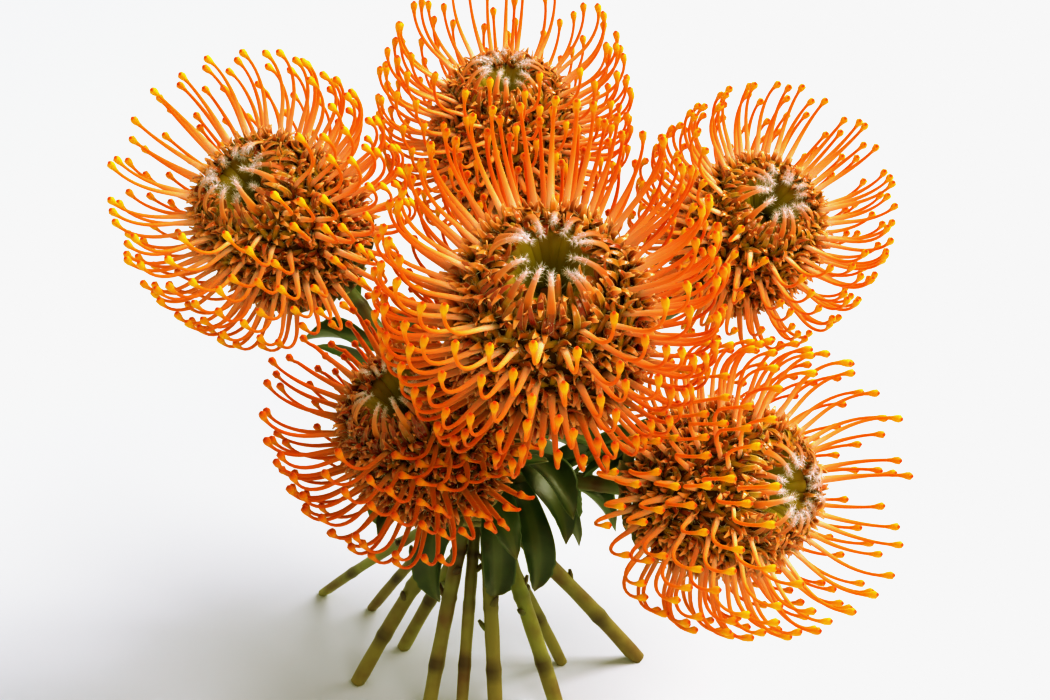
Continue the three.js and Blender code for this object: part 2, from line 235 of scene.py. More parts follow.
def sweep(
    paths: np.ndarray,
    width: Numbers,
    thickness: Numbers,
    side: np.ndarray,
    sides: int,
    skin: Skin,
    tone: Numbers,
    fold: Numbers = 0.0,
) -> Surface:
    """Rounded strands carried along paths.

    At each station the ring is across * width * cos(a) + up * (thickness * sin(a) + fold * width * cos(a)^2),
    where across is the side direction squared to the path, and up is square to both.

    Args:
        paths: Points of each strand, by strand, station and coordinate.
        width: Half width, for all or for each station, and for all strands or for each.
        thickness: Half thickness, likewise.
        side: The side direction of each strand.
        sides: Points of each ring, an even number.
        skin: The finish of the faces.
        tone: One number for each strand.
        fold: How far the two sides are lifted, as a share of the half width.

    Returns:
        The surface of all the strands.
    """
    strands, stations = paths.shape[:2]
    tangent = unit(np.gradient(paths, axis=1))
    across = side[:, None, :] - tangent * (side[:, None, :] * tangent).sum(-1, keepdims=True)
    across = unit(across)
    up = np.cross(across, tangent)
    angle = np.arange(sides) * 2 * np.pi / sides
    cos, sin = np.cos(angle), np.sin(angle)
    width = np.broadcast_to(width, (strands, stations))[..., None]
    thickness = np.broadcast_to(thickness, (strands, stations))[..., None]
    lift = np.broadcast_to(fold, (strands, stations))[..., None] * width * cos**2
    points = paths[:, :, None] + across[:, :, None] * (width * cos)[..., None]
    points = points + up[:, :, None] * (thickness * sin + lift)[..., None]
    along = np.broadcast_to(np.linspace(0, 1, stations)[None, :, None], (strands, stations, sides))
    return Surface(
        points=points.reshape(-1, 3),
        faces=ring_faces(strands, stations, sides),
        along=along.reshape(-1),
        edge=np.tile(np.abs(cos), strands * stations),
        top=np.tile(0.5 + 0.5 * sin, strands * stations),
        tone=np.repeat(np.broadcast_to(tone, strands), stations * sides),
        skin=np.full(strands * stations * sides, skin.value),
    )


def lathe(radius: np.ndarray, height: np.ndarray, sides: int, skin: Skin) -> Surface:
    """An outline of radius and height turned round the upright axis, with its two ends filled.

    Args:
        radius: Radii of the outline, from the foot round to the inner end.
        height: Heights of the same points.
        sides: Points round the axis, an even number.
        skin: The finish of the faces.

    Returns:
        The turned surface, whose axis is the third coordinate.
    """
    angle = np.arange(sides) * 2 * np.pi / sides
    rows = len(radius)
    count = rows * sides
    return Surface(
        points=round_axis(radius[:, None], angle, height[:, None]).reshape(-1, 3),
        faces=ring_faces(1, rows, sides),
        along=np.repeat(np.linspace(0, 1, rows), sides),
        edge=np.zeros(count),
        top=np.ones(count),
        tone=np.full(count, 0.5),
        skin=np.full(count, skin.value),
    )


def make_piece(name: str, surface: Surface, node: str, materials: Materials) -> bpy.types.Object:
    """A mesh object in the part's frame that stands for one of its nodes.

    Args:
        name: The name of the piece.
        surface: Its points, faces and values, in millimetres of the bunch's layout.
        node: The node that it replaces.
        materials: The material of each finish.

    Returns:
        The new object, which rides with the bunch.
    """
    mesh = bpy.data.meshes.new(name)
    mesh.from_pydata((surface.points - OUTLINE_MIDDLE) / 1000, [], surface.faces)
    for key in ("along", "edge", "top", "tone"):
        values = getattr(surface, key).astype(np.float32)
        mesh.attributes.new(key, "FLOAT", "POINT").data.foreach_set("value", values)
    used = np.unique(surface.skin)
    for value in used:
        mesh.materials.append(materials[Skin(value)])
    place = np.searchsorted(used, surface.skin[surface.faces[:, 0]])
    mesh.polygons.foreach_set("material_index", place.astype(np.int32))
    mesh.shade_smooth()
    mesh.validate()
    piece = bpy.data.objects.new(name, mesh)
    bpy.context.scene.collection.objects.link(piece)
    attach(piece, "root")
    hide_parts(node)
    log.info("%s: %d faces for %s", name, len(mesh.polygons), node)
    return piece


# Finishes


@dataclass(frozen=True)
class Finish:
    """How one kind of surface looks.

    young and ripe are colours from root to tip, and each strand takes its place between the two by its
    tone, which also darkens it. The sides of a strand turn towards rim and its lower face towards under,
    and blotches of another colour lie over all of it.
    """

    name: str
    young: Stops
    ripe: Stops
    rim: str = "#ffffff"
    rim_amount: float = 0.0
    rim_power: float = 4.0
    under: str = "#000000"
    under_amount: float = 0.0
    blotch: str = "#000000"
    blotch_amount: float = 0.0
    blotch_scale: float = 120.0
    grain_scale: float = 900.0
    grain_depth: float = 0.15
    roughness: float = 0.5
    subsurface: float = 0.0
    sheen: float = 0.0
    specular: float = 0.5


FINISHES = {
    Skin.CORE: Finish(
        name="floret_bed",
        young=((0.0, "#5b5a1e"), (0.5, "#5a3a0c"), (1.0, "#3a3008")),
        ripe=((0.0, "#6a5a18"), (0.5, "#6a300a"), (1.0, "#42300a")),
        blotch="#7c1a0a", blotch_amount=0.5,
        grain_depth=0.5, roughness=0.8, specular=0.1,
    ),
    Skin.FLORET: Finish(
        name="floret_claw",
        # The dark roots of the claws are partly their own dark bases and partly painted shade in the gaps
        # between them.
        young=((0.0, "#4a3c02"), (0.25, "#8e8404"), (0.5, "#a88c04"), (0.78, "#e07808"), (1.0, "#fcac68")),
        ripe=((0.0, "#480e02"), (0.25, "#8a1e02"), (0.5, "#b02602"), (0.78, "#d84404"), (1.0, "#f88440")),
        # The cream rim is partly the claws' own pale edges and partly a painted highlight along them.
        rim="#ffd49c", rim_amount=0.55, rim_power=9.0,
        under="#8c2006", under_amount=0.35,
        blotch="#9c0c08", blotch_amount=0.65, blotch_scale=180.0,
        roughness=0.2, specular=0.45,
    ),
    Skin.STYLE: Finish(
        name="style",
        # The pale peach bases of the young styles are partly their own colour and partly a painted glow of
        # light shining through them.
        young=(
            (0.0, "#e8a868"), (0.1, "#ffc0a0"), (0.28, "#ff9e62"), (0.5, "#fc7e20"), (0.8, "#fa6e04"),
            (0.87, "#ff8a02"), (0.93, "#ffb814"), (0.985, "#ffa20c"), (1.0, "#e02404"),
        ),
        ripe=(
            (0.0, "#8c5c24"), (0.08, "#c87438"), (0.25, "#e4641c"), (0.5, "#f0580a"), (0.8, "#e84802"),
            (0.87, "#f87002"), (0.93, "#ff960a"), (0.975, "#f86404"), (1.0, "#c01204"),
        ),
        rim="#ffa050", rim_amount=0.12, rim_power=3.0,
        blotch="#ee4602", blotch_amount=0.15, blotch_scale=70.0,
        grain_depth=0.08, roughness=0.4, subsurface=0.5, specular=0.04,
    ),
    Skin.HOLLOW: Finish(
        name="unopened_strap",
        # The straps darken to near black at their tips, deep in the hollow: painted shade.
        young=((0.0, "#a87414"), (0.3, "#b08c1c"), (0.55, "#9c8414"), (0.8, "#6a5c0e"), (1.0, "#1e1a02")),
        ripe=((0.0, "#b05c10"), (0.3, "#a87414"), (0.55, "#8c6c10"), (0.8, "#5c4a0a"), (1.0, "#1a1402")),
        rim="#e8c040", rim_amount=0.3,
        blotch="#84700a", blotch_amount=0.3,
        roughness=0.4, specular=0.12,
    ),
    Skin.CROWN: Finish(
        name="crown_claw",
        young=((0.0, "#a85008"), (0.4, "#dc7418"), (0.65, "#d4784c"), (0.85, "#dca494"), (1.0, "#f0dcd8")),
        ripe=((0.0, "#983008"), (0.4, "#cc5014"), (0.65, "#c46444"), (0.85, "#d0948c"), (1.0, "#ecd0cc")),
        rim="#f8c888", rim_amount=0.4,
        blotch="#b82410", blotch_amount=0.25,
        roughness=0.4, sheen=0.05, specular=0.15,
    ),
    Skin.HAIR: Finish(
        name="floret_hair",
        young=((0.0, "#f4dcd2"), (1.0, "#fff8f6")),
        ripe=((0.0, "#ecc8bc"), (1.0, "#fcece8")),
        roughness=0.6, subsurface=0.1, sheen=0.2,
    ),
    Skin.BARK: Finish(
        name="stem_skin",
        # The bark is darkest at the waist (0.5), under the tie: painted shade where the stems crowd together.
        young=((0.0, "#a09850"), (0.2, "#78883a"), (0.5, "#4c6230"), (1.0, "#566c3c")),
        ripe=((0.0, "#7c4c2c"), (0.2, "#806030"), (0.5, "#50502c"), (1.0, "#62663c")),
        rim="#34120e", rim_amount=0.95, rim_power=1.0,
        blotch="#5c2418", blotch_amount=0.8, blotch_scale=65.0,
        grain_scale=700.0, grain_depth=0.4, roughness=0.42, specular=0.35,
    ),
    Skin.LEAF: Finish(
        name="leaf",
        young=((0.0, "#4e642e"), (0.2, "#264420"), (0.9, "#1e3a1a"), (1.0, "#544820")),
        ripe=((0.0, "#364a22"), (0.2, "#142a14"), (0.9, "#102412"), (1.0, "#3e2816")),
        rim="#8a9450", rim_amount=0.6, rim_power=5.0,
        under="#5c7444", under_amount=0.6,
        blotch="#3c5820", blotch_amount=0.35, blotch_scale=90.0,
        grain_scale=500.0, grain_depth=0.25, roughness=0.36, specular=0.35,
    ),
    Skin.BRACT: Finish(
        name="bract",
        young=((0.0, "#6a7438"), (0.5, "#7c8040"), (0.85, "#94783c"), (1.0, "#a8603c")),
        ripe=((0.0, "#5e6430"), (0.5, "#6e6a34"), (0.85, "#846034"), (1.0, "#944c30")),
        rim="#b0a878", rim_amount=0.5, rim_power=6.0,
        blotch="#7c4a2c", blotch_amount=0.4, blotch_scale=200.0,
        grain_depth=0.25, roughness=0.7, sheen=0.15, specular=0.15,
    ),
    Skin.TWINE: Finish(
        name="twine",
        young=((0.0, "#9c8450"), (1.0, "#a08a58")),
        ripe=((0.0, "#8a7242"), (1.0, "#8e7848")),
        blotch="#5e4a26", blotch_amount=0.5, blotch_scale=900.0,
        grain_scale=2400.0, grain_depth=0.7, roughness=0.9, sheen=0.3,
    ),
}


def set_inputs(node: bpy.types.Node, values: dict[str, object]) -> None:
    """Sets the values of a node's own sockets, by their names."""
    for name, value in values.items():
        node.inputs[name].default_value = value


class Dresser:
    """Builds the materials of the finishes, and the two node groups that they share.

    mask_range is the part of the noise that becomes the blotches, bump_height the grain's height in metres,
    tone_value the brightness at tones 0 and 1, and glow_depth and glow_radius say how far light goes in.
    """

    mask_range: Range = (0.45, 0.7)
    bump_height: float = 0.0004
    # The darkening by tone also carries the painted shade given to the lower rows of each head.
    tone_value: Range = (1.1, 0.76)
    glow_depth: float = 0.002
    glow_radius: Triple = (1.0, 0.35, 0.12)

    def __init__(self) -> None:
        """Makes the shared groups."""
        self.grain = self._grain_group()
        self.shade = self._shade_group()

    @staticmethod
    def _sockets(group: bpy.types.NodeTree, way: str, kind: str, names: tuple[str, ...]) -> None:
        """Adds named inputs or outputs of one kind to a node group."""
        for name in names:
            group.interface.new_socket(name, in_out=way, socket_type=kind)

    def _grain_group(self) -> bpy.types.NodeTree:
        """A group that puts out a mottling mask and a bumped normal, both from noise on Object coordinates.

        Returns:
            The node group with inputs Blotch Scale, Grain Scale and Depth, and outputs Mask and Normal.
        """
        group = bpy.data.node_groups.new("grain", "ShaderNodeTree")
        self._sockets(group, "INPUT", "NodeSocketFloat", ("Blotch Scale", "Grain Scale", "Depth"))
        self._sockets(group, "OUTPUT", "NodeSocketFloat", ("Mask",))
        self._sockets(group, "OUTPUT", "NodeSocketVector", ("Normal",))
        nodes, links = group.nodes, group.links
        start, end = nodes.new("NodeGroupInput"), nodes.new("NodeGroupOutput")
        place = nodes.new("ShaderNodeTexCoord")
        blotch, grain = nodes.new("ShaderNodeTexNoise"), nodes.new("ShaderNodeTexNoise")
        sharpen, bump = nodes.new("ShaderNodeMapRange"), nodes.new("ShaderNodeBump")
        set_inputs(blotch, {"Detail": 3.0})
        set_inputs(grain, {"Detail": 4.0})
        set_inputs(sharpen, {"From Min": self.mask_range[0], "From Max": self.mask_range[1]})
        set_inputs(bump, {"Distance": self.bump_height})
        for source, target in (
            (place.outputs["Object"], blotch.inputs["Vector"]),
            (place.outputs["Object"], grain.inputs["Vector"]),
            (start.outputs["Blotch Scale"], blotch.inputs["Scale"]),
            (start.outputs["Grain Scale"], grain.inputs["Scale"]),
            (start.outputs["Depth"], bump.inputs["Strength"]),
            (blotch.outputs["Fac"], sharpen.inputs["Value"]),
            (grain.outputs["Fac"], bump.inputs["Height"]),
            (sharpen.outputs["Result"], end.inputs["Mask"]),
            (bump.outputs["Normal"], end.inputs["Normal"]),
        ):
            links.new(source, target)
        return group

    def _shade_group(self) -> bpy.types.NodeTree:
        """A group that turns a strand's own colour towards its blotches, its under face and its rim.

        Returns:
            The node group. Each colour has an amount, Edge and Top say where on the strand a point is, and
            a higher Tone is darker.
        """
        group = bpy.data.node_groups.new("strand_shade", "ShaderNodeTree")
        self._sockets(group, "INPUT", "NodeSocketColor", ("Colour", "Rim", "Under", "Blotch"))
        amounts = ("Rim Amount", "Rim Power", "Under Amount", "Blotch Amount")
        self._sockets(group, "INPUT", "NodeSocketFloat", (*amounts, "Edge", "Top", "Mask", "Tone"))
        self._sockets(group, "OUTPUT", "NodeSocketColor", ("Colour",))
        nodes, links = group.nodes, group.links
        start, end = nodes.new("NodeGroupInput"), nodes.new("NodeGroupOutput")
        given = start.outputs

        def worked(operation: str, a: Socket | float, b: Socket) -> Socket:
            """The result of an operation on two values.

            Args:
                operation: Blender's name of the operation.
                a: A number or a socket.
                b: A socket.

            Returns:
                The output of the new node.
            """
            node = nodes.new("ShaderNodeMath")
            node.operation = operation
            if isinstance(a, float):
                node.inputs[0].default_value = a
            else:
                links.new(a, node.inputs[0])
            links.new(b, node.inputs[1])
            return node.outputs[0]

        colour = given["Colour"]
        rim = worked("POWER", given["Edge"], given["Rim Power"])
        below = worked("SUBTRACT", 1.0, given["Top"])
        for other, share in (("Blotch", given["Mask"]), ("Under", below), ("Rim", rim)):
            node = nodes.new("ShaderNodeMix")
            node.data_type = "RGBA"
            links.new(worked("MULTIPLY", share, given[f"{other} Amount"]), node.inputs["Factor"])
            links.new(colour, node.inputs["A"])
            links.new(given[other], node.inputs["B"])
            colour = node.outputs["Result"]
        lighter = nodes.new("ShaderNodeMapRange")
        set_inputs(lighter, {"To Min": self.tone_value[0], "To Max": self.tone_value[1]})
        links.new(given["Tone"], lighter.inputs["Value"])
        tint = nodes.new("ShaderNodeHueSaturation")
        links.new(lighter.outputs["Result"], tint.inputs["Value"])
        links.new(colour, tint.inputs["Color"])
        links.new(tint.outputs["Color"], end.inputs["Colour"])
        return group

    @staticmethod
    def _ramp(nodes: bpy.types.Nodes, stops: Stops) -> bpy.types.Node:
        """A colour ramp with the given places and colours.

        Args:
            nodes: The nodes of the material.
            stops: Places and colours, from root to tip.

        Returns:
            The new node.
        """
        node = nodes.new("ShaderNodeValToRGB")
        elements = node.color_ramp.elements
        elements[0].position, elements[0].color = stops[0][0], linear(stops[0][1])
        elements[1].position, elements[1].color = stops[-1][0], linear(stops[-1][1])
        for place, colour in stops[1:-1]:
            elements.new(place).color = linear(colour)
        return node

    def dress(self, finish: Finish) -> bpy.types.Material:
        """The material of a finish.

        Args:
            finish: The colours and numbers of the finish.

        Returns:
            A material that reads the attributes along, edge, top and tone.
        """
        material = bpy.data.materials.new(finish.name)
        material.use_nodes = True
        nodes, links = material.node_tree.nodes, material.node_tree.links
        shader = nodes["Principled BSDF"]
        values = {}
        for key in ("along", "edge", "top", "tone"):
            node = nodes.new("ShaderNodeAttribute")
            node.attribute_name = key
            values[key] = node.outputs["Fac"]
        young, ripe = self._ramp(nodes, finish.young), self._ramp(nodes, finish.ripe)
        blend = nodes.new("ShaderNodeMix")
        blend.data_type = "RGBA"
        grain, shade = nodes.new("ShaderNodeGroup"), nodes.new("ShaderNodeGroup")
        grain.node_tree, shade.node_tree = self.grain, self.shade
        for source, target in (
            (values["along"], young.inputs["Fac"]),
            (values["along"], ripe.inputs["Fac"]),
            (values["tone"], blend.inputs["Factor"]),
            (young.outputs["Color"], blend.inputs["A"]),
            (ripe.outputs["Color"], blend.inputs["B"]),
            (blend.outputs["Result"], shade.inputs["Colour"]),
            (values["edge"], shade.inputs["Edge"]),
            (values["top"], shade.inputs["Top"]),
            (values["tone"], shade.inputs["Tone"]),
            (grain.outputs["Mask"], shade.inputs["Mask"]),
            (shade.outputs["Colour"], shader.inputs["Base Color"]),
            (grain.outputs["Normal"], shader.inputs["Normal"]),
        ):
            links.new(source, target)
        scales = {"Blotch Scale": finish.blotch_scale, "Grain Scale": finish.grain_scale}
        colours = {"Rim": finish.rim, "Under": finish.under, "Blotch": finish.blotch}
        amounts = {"Rim Amount": finish.rim_amount, "Rim Power": finish.rim_power}
        amounts |= {"Under Amount": finish.under_amount, "Blotch Amount": finish.blotch_amount}
        glow = {"Subsurface Radius": self.glow_radius, "Subsurface Scale": self.glow_depth}
        glow |= {"Subsurface Weight": finish.subsurface}
        gloss = {"Roughness": finish.roughness, "Specular IOR Level": finish.specular}
        gloss |= {"Sheen Weight": finish.sheen}
        set_inputs(grain, scales | {"Depth": finish.grain_depth})
        set_inputs(shade, {name: linear(colour) for name, colour in colours.items()} | amounts)
        set_inputs(shader, gloss | glow)
        return material

    def dress_all(self) -> Materials:
        """The material of every finish."""
        return {skin: self.dress(finish) for skin, finish in FINISHES.items()}


# Distances


class Probe:
    """Measures distances to the surfaces of some of the part's own solids, in millimetres."""

    def __init__(self, nodes: list[bpy.types.Object]) -> None:
        """Builds one search tree for each node."""
        self.trees = [
            BVHTree.FromPolygons([v.co for v in mesh.vertices], [p.vertices for p in mesh.polygons])
            for mesh in (node.data for node in nodes)
        ]

    def distances(self, points: np.ndarray) -> np.ndarray:
        """The distance from each point to the nearest surface.

        Args:
            points: Points of the layout, in an array of any shape.

        Returns:
            One distance for each point.
        """
        local = ((points - OUTLINE_MIDDLE) / 1000).reshape(-1, 3)
        found = [min(tree.find_nearest(Vector(p))[3] for tree in self.trees) for p in local.tolist()]
        return np.array(found).reshape(points.shape[:-1]) * 1000

    def clear(self, paths: np.ndarray, margin: float) -> np.ndarray:
        """Which paths keep a margin from the surfaces at all their points."""
        return self.distances(paths).min(-1) > margin


# The heads


@dataclass(frozen=True)
class Ring:
    """A ring of claws or bracts round a head's axis: their number, where they start, and their length."""

    count: int
    radius: float
    height: float
    length: float


@dataclass
class Head:
    """One flower head: the bed round its hollow, and all that grows on it.

    Claws and styles stand on the bed's florets, rings of claws on the rim, straps line the hollow, woolly
    crown claws curl over it, and bracts cover the foot. Every bare_floret-th floret has no style, hold sets
    the planes between two heads, and painted_shade_slope is painted shade: how much riper and darker the
    lowest rows are made than the top ones, about the rise that is even, which also leaves the top rows paler.

    The part's own sizes are repeated here. A head's heights are along its axis from the middle of its body,
    and its headings are in degrees, 0 outwards and 90 along the axis. A Range is what a draw, or the rise
    up the head, picks from, and a name that ends in play says how wide a draw spreads its value. A Row has
    a number for each station of a strand, from root to tip. claw_places holds how far round its floret each
    claw stands, its share of the length and its first heading, and hair_places the station of a hair's root
    and how far to the side of the claw it stands.
    """

    name: str
    centre: Triple
    axis: Triple
    size: float
    hold: float
    ripeness: float
    seed: int
    bare_floret: int = 5
    # Painted shade: the lowest rows are darkened, and the top rows lightened, by this much of tone.
    painted_shade_slope: float = 0.2

    body_radius: float = 31.0
    body_bottom: float = -35.0
    body_rim: float = 26.0
    end_taper: float = 0.42
    taper_power: float = 2.6
    bed_depth: float = 4.0
    bed_top: float = 21.0
    bed_rows: int = 26
    bed_sides: int = 48
    foot_radius: float = 5.0
    foot_share: float = 0.6
    hollow_outline: Table = ((19.0, 21.5), (15.5, 23.0), (12.0, 19.0), (7.0, 13.0), (2.0, 9.0))

    floret_count: int = 215
    floret_low: float = -30.0
    floret_high: float = 22.5
    floret_play: float = 0.1

    style_length: float = 42.0
    style_share: Range = (0.89, 1.04)
    style_root_height: Range = (-23.0, 19.0)
    style_rows: Range = (-0.06, 1.05)
    style_root_sink: float = 2.5
    style_slant: Range = (-8.0, 40.0)
    style_dip: float = 0.1
    style_hook: Range = (108.0, 58.0)
    style_hook_start: float = 0.36
    style_hook_end: float = 0.94
    hook_play: float = 9.0
    hook_start_play: float = 0.05
    slant_play: float = 4.0
    length_play: float = 0.06
    sway_play: float = 0.08
    style_steps: int = 60
    style_width: Table = (
        (0.0, 1.35), (0.12, 1.25), (0.3, 0.98), (0.5, 0.78), (0.7, 0.62), (0.83, 0.56), (0.89, 0.85),
        (0.93, 1.3), (0.96, 1.55), (0.985, 1.25), (1.0, 0.5),
    )
    style_roundness: Table = ((0, 0.55), (0.4, 0.8), (0.85, 1), (1, 1))
    style_stations: Row = (
        0, 0.11, 0.24, 0.35, 0.43, 0.5, 0.57, 0.64, 0.71, 0.78, 0.84, 0.89, 0.93, 0.97, 1.0,
    )
    style_tone_play: float = 0.5
    style_even_rise: float = 0.5
    style_clearance: float = 4.2
    club_radius: float = 1.6
    gap: float = 0.35

    claw_length: float = 12.8
    claw_share: Range = (0.86, 1.14)
    claw_half_width: float = 1.12
    claw_half_thickness: float = 0.24
    claw_outline: Row = (0.7, 0.95, 1.1, 1.15, 1.05, 0.8, 0.3)
    claw_fold: Row = (0.1, 0.35, 0.6, 0.7, 0.7, 0.5, 0.0)
    claw_places: tuple[Triple, ...] = (
        (0.0, 1.05, 28.0), (38.0, 0.95, 20.0), (-38.0, 0.95, 20.0), (90.0, 0.7, 12.0),
    )
    claw_start: float = 0.9
    claw_play: float = 22.0
    claw_rise: float = 58.0
    claw_flare: Range = (16.0, 136.0)
    claw_bend: float = 0.55
    top_slope: float = -1.6
    top_height: float = 20.0
    claw_ripeness: float = 0.6
    claw_tone_play: float = 1.2
    claw_tone_zero: float = 0.3
    claw_tone_top: float = 1.3
    claw_even_rise: float = 0.4
    claw_clearance: float = 2.8

    rim_rings: tuple[Ring, ...] = (
        Ring(34, 21.5, 20.5, 9.0), Ring(32, 19.5, 21.5, 9.0), Ring(28, 17.3, 22.3, 8.0),
        Ring(22, 15.0, 22.8, 6.5),
    )
    rim_share: Range = (0.75, 1.25)
    rim_heading: float = 62.0
    rim_curl: Range = (60.0, 170.0)
    rim_play: float = 0.25
    rim_outline: Row = (0.7, 0.9, 1.0, 1.0, 0.85, 0.6, 0.25)
    rim_fold: float = -0.5

    bract_rings: tuple[Ring, ...] = (
        Ring(11, 6.5, -35.2, 11.0), Ring(16, 11.0, -34.8, 11.0), Ring(20, 15.5, -33.5, 11.0),
        Ring(22, 19.0, -30.5, 10.0),
    )
    bract_share: Range = (0.85, 1.15)
    bract_heading: float = -24.0
    bract_curl: Range = (70.0, 90.0)
    bract_play: float = 0.2
    bract_half_width: Row = (2.2, 2.9, 3.1, 2.6, 1.6, 0.2)
    bract_half_thickness: float = 0.35
    bract_fold: float = -0.3
    bract_clearance: float = 4.6
    foot_clearance: float = 3.2

    strap_count: int = 22
    strap_line: Table = (
        (18.5, 20.0), (17.2, 22.6), (15.2, 23.6), (12.8, 22.8), (10.6, 20.4), (8.4, 17.0), (5.8, 13.2),
        (3.4, 10.5),
    )
    strap_half_width: Row = (2.2, 2.6, 2.6, 2.35, 2.0, 1.6, 1.2, 0.8)
    strap_half_thickness: Row = (0.9, 1.1, 1.2, 1.2, 1.1, 1.0, 0.8, 0.6)
    strap_play: float = 0.05
    strap_height_play: float = 2.0

    crown_ring: Ring = Ring(15, 17.5, 22.0, 16.0)
    crown_share: Range = (0.75, 1.25)
    crown_heading: float = 72.0
    crown_curl: Range = (95.0, 125.0)
    crown_play: float = 0.3
    crown_half_width: Row = (1.3, 1.5, 1.6, 1.55, 1.4, 1.25, 1.1, 1.0, 0.9, 0.85, 0.7, 0.3)
    crown_half_thickness: Row = (0.5, 0.6, 0.6, 0.6, 0.6, 0.6, 0.6, 0.65, 0.7, 0.75, 0.65, 0.3)
    crown_fold: float = -0.15

    hair_length: float = 2.0
    hair_share: Range = (0.6, 1.4)
    hair_radius: float = 0.07
    hair_taper: Row = (1.0, 0.2)
    hair_bow: float = 0.12
    hair_places: tuple[tuple[int, float], ...] = ((3, 0.9), (4, -0.9))
    hair_splay: float = 0.7
    hair_ruffle: float = 0.9
    wool_length: Range = (2.1, 1.1)
    wool_radius: float = 0.05
    wool_root: float = 0.5
    wool_splay: float = 0.75
    wool_stations: tuple[int, ...] = (8, 9, 10, 11)
    wool_count: int = 34
    wool_turn: float = 2.4

    row_shift: float = 0.5
    hair_sides: int = 4
    fine_sides: int = 6
    broad_sides: int = 8

    def frame(self) -> np.ndarray:
        """Rows of the head's level direction, its third direction and its axis.

        Returns:
            Three unit vectors.
        """
        axis = unit(np.array(self.axis))
        flat = -unit(np.cross(UP, axis))
        return np.array([flat, np.cross(flat, axis), axis])

    def placed(self, local: np.ndarray) -> np.ndarray:
        """Points of the head's own frame carried to the bunch's layout."""
        return np.array(self.centre) + self.size * (local @ self.frame())

    def outline(self, height: np.ndarray) -> np.ndarray:
        """Radius of the barrel: body_radius * (1 - end_taper * k ** taper_power), k of the way to an end.

        Args:
            height: Heights along the axis.

        Returns:
            One radius for each height.
        """
        middle = (self.body_bottom + self.body_rim) / 2
        half = (self.body_rim - self.body_bottom) / 2
        fraction = np.clip(np.abs(height - middle) / half, 0, 1)
        return self.body_radius * (1 - self.end_taper * fraction**self.taper_power)

    def lattice(self) -> tuple[np.ndarray, np.ndarray]:
        """Heights and turns of the florets: even steps up the body, each a golden angle further round.

        Returns:
            The height of each floret and its angle round the axis.
        """
        i = np.arange(self.floret_count)
        height = mix(self.floret_low, self.floret_high, (i + 0.5) / self.floret_count)
        turn = i * GOLDEN_ANGLE + self.floret_play * swing(i + 17 * self.seed)
        return height, turn

    def bed(self) -> Surface:
        """The turned bed that the florets stand in, from the foot round to the floor of the hollow.

        Returns:
            The outline, less the depth of the bed, turned round the head's axis.
        """
        height = np.linspace(self.body_bottom, self.bed_top, self.bed_rows)
        radius = self.outline(height) - self.bed_depth
        radius[0], radius[1] = self.foot_radius, radius[1] * self.foot_share
        inner = np.array(self.hollow_outline)
        radius, height = np.append(radius, inner[:, 0]), np.append(height, inner[:, 1])
        surface = lathe(radius, height, self.bed_sides, Skin.CORE)
        surface.points = self.placed(surface.points)
        return surface

    def style_paths(self, rise: np.ndarray, turn: np.ndarray) -> np.ndarray:
        """Points along the styles.

        A style leaves the body at a slant that grows with its rise up the head, and then hooks over towards
        the axis: its heading is slant - dip * sin(pi t) + hook * ramp(t), summed over equal steps.

        Args:
            rise: 0 for the lowest row of styles and 1 for the top row.
            turn: The angle of each style round the axis.

        Returns:
            Points by style, station and coordinate in the bunch's layout.
        """
        steps = self.style_steps
        jitter = swing(turn * 3.1 + self.seed)[:, None]
        rise = rise[:, None]
        t = (np.arange(steps) + 0.5)[None] / steps
        hook = np.radians(mix(*self.style_hook, rise) + self.hook_play * jitter)
        start = self.style_hook_start + self.hook_start_play * swing(turn * 7.7)[:, None]
        slant = np.radians(mix(*self.style_slant, rise) + self.slant_play * swing(turn * 5.3)[:, None])
        ramp = np.clip((t - start) / (self.style_hook_end - start), 0, 1)
        heading = slant - self.style_dip * np.sin(np.pi * t) + hook * ramp
        length = self.style_length * mix(*self.style_share, rise) * (1 + self.length_play * jitter)
        out, up = walk(heading, length / steps)
        root_height = mix(*self.style_root_height, rise)
        radius = self.outline(root_height) - self.style_root_sink + out
        sway = self.sway_play * swing(turn * 9.1)[:, None] * np.linspace(0, 1, steps)[None] ** 2
        path = round_axis(radius, turn[:, None] + sway, root_height + up)
        places = np.array(self.style_stations) * (steps - 1)
        low = np.floor(places).astype(int)
        high = np.minimum(low + 1, steps - 1)
        share = (places - low)[None, :, None]
        return self.placed(mix(path[:, low], path[:, high], share))

    def kept_apart(self, paths: np.ndarray, others: list["Head"]) -> np.ndarray:
        """Style points moved back behind the planes that part this head from its neighbours.

        The plane stands at (d^2 + hold^2 - other hold^2) / 2d along the line to a neighbour d away.

        Args:
            paths: Points of the layout along each style.
            others: The other heads of the bunch.

        Returns:
            The same points, with those past a plane moved straight back to it.
        """
        centre = np.array(self.centre)
        for other in others:
            towards = np.array(other.centre) - centre
            distance = np.linalg.norm(towards)
            normal = towards / distance
            reach = (distance**2 + self.hold**2 - other.hold**2) / (2 * distance)
            past = (paths - centre) @ normal - reach + self.club_radius + self.gap
            paths = paths - np.maximum(past, 0)[..., None] * normal
        return paths

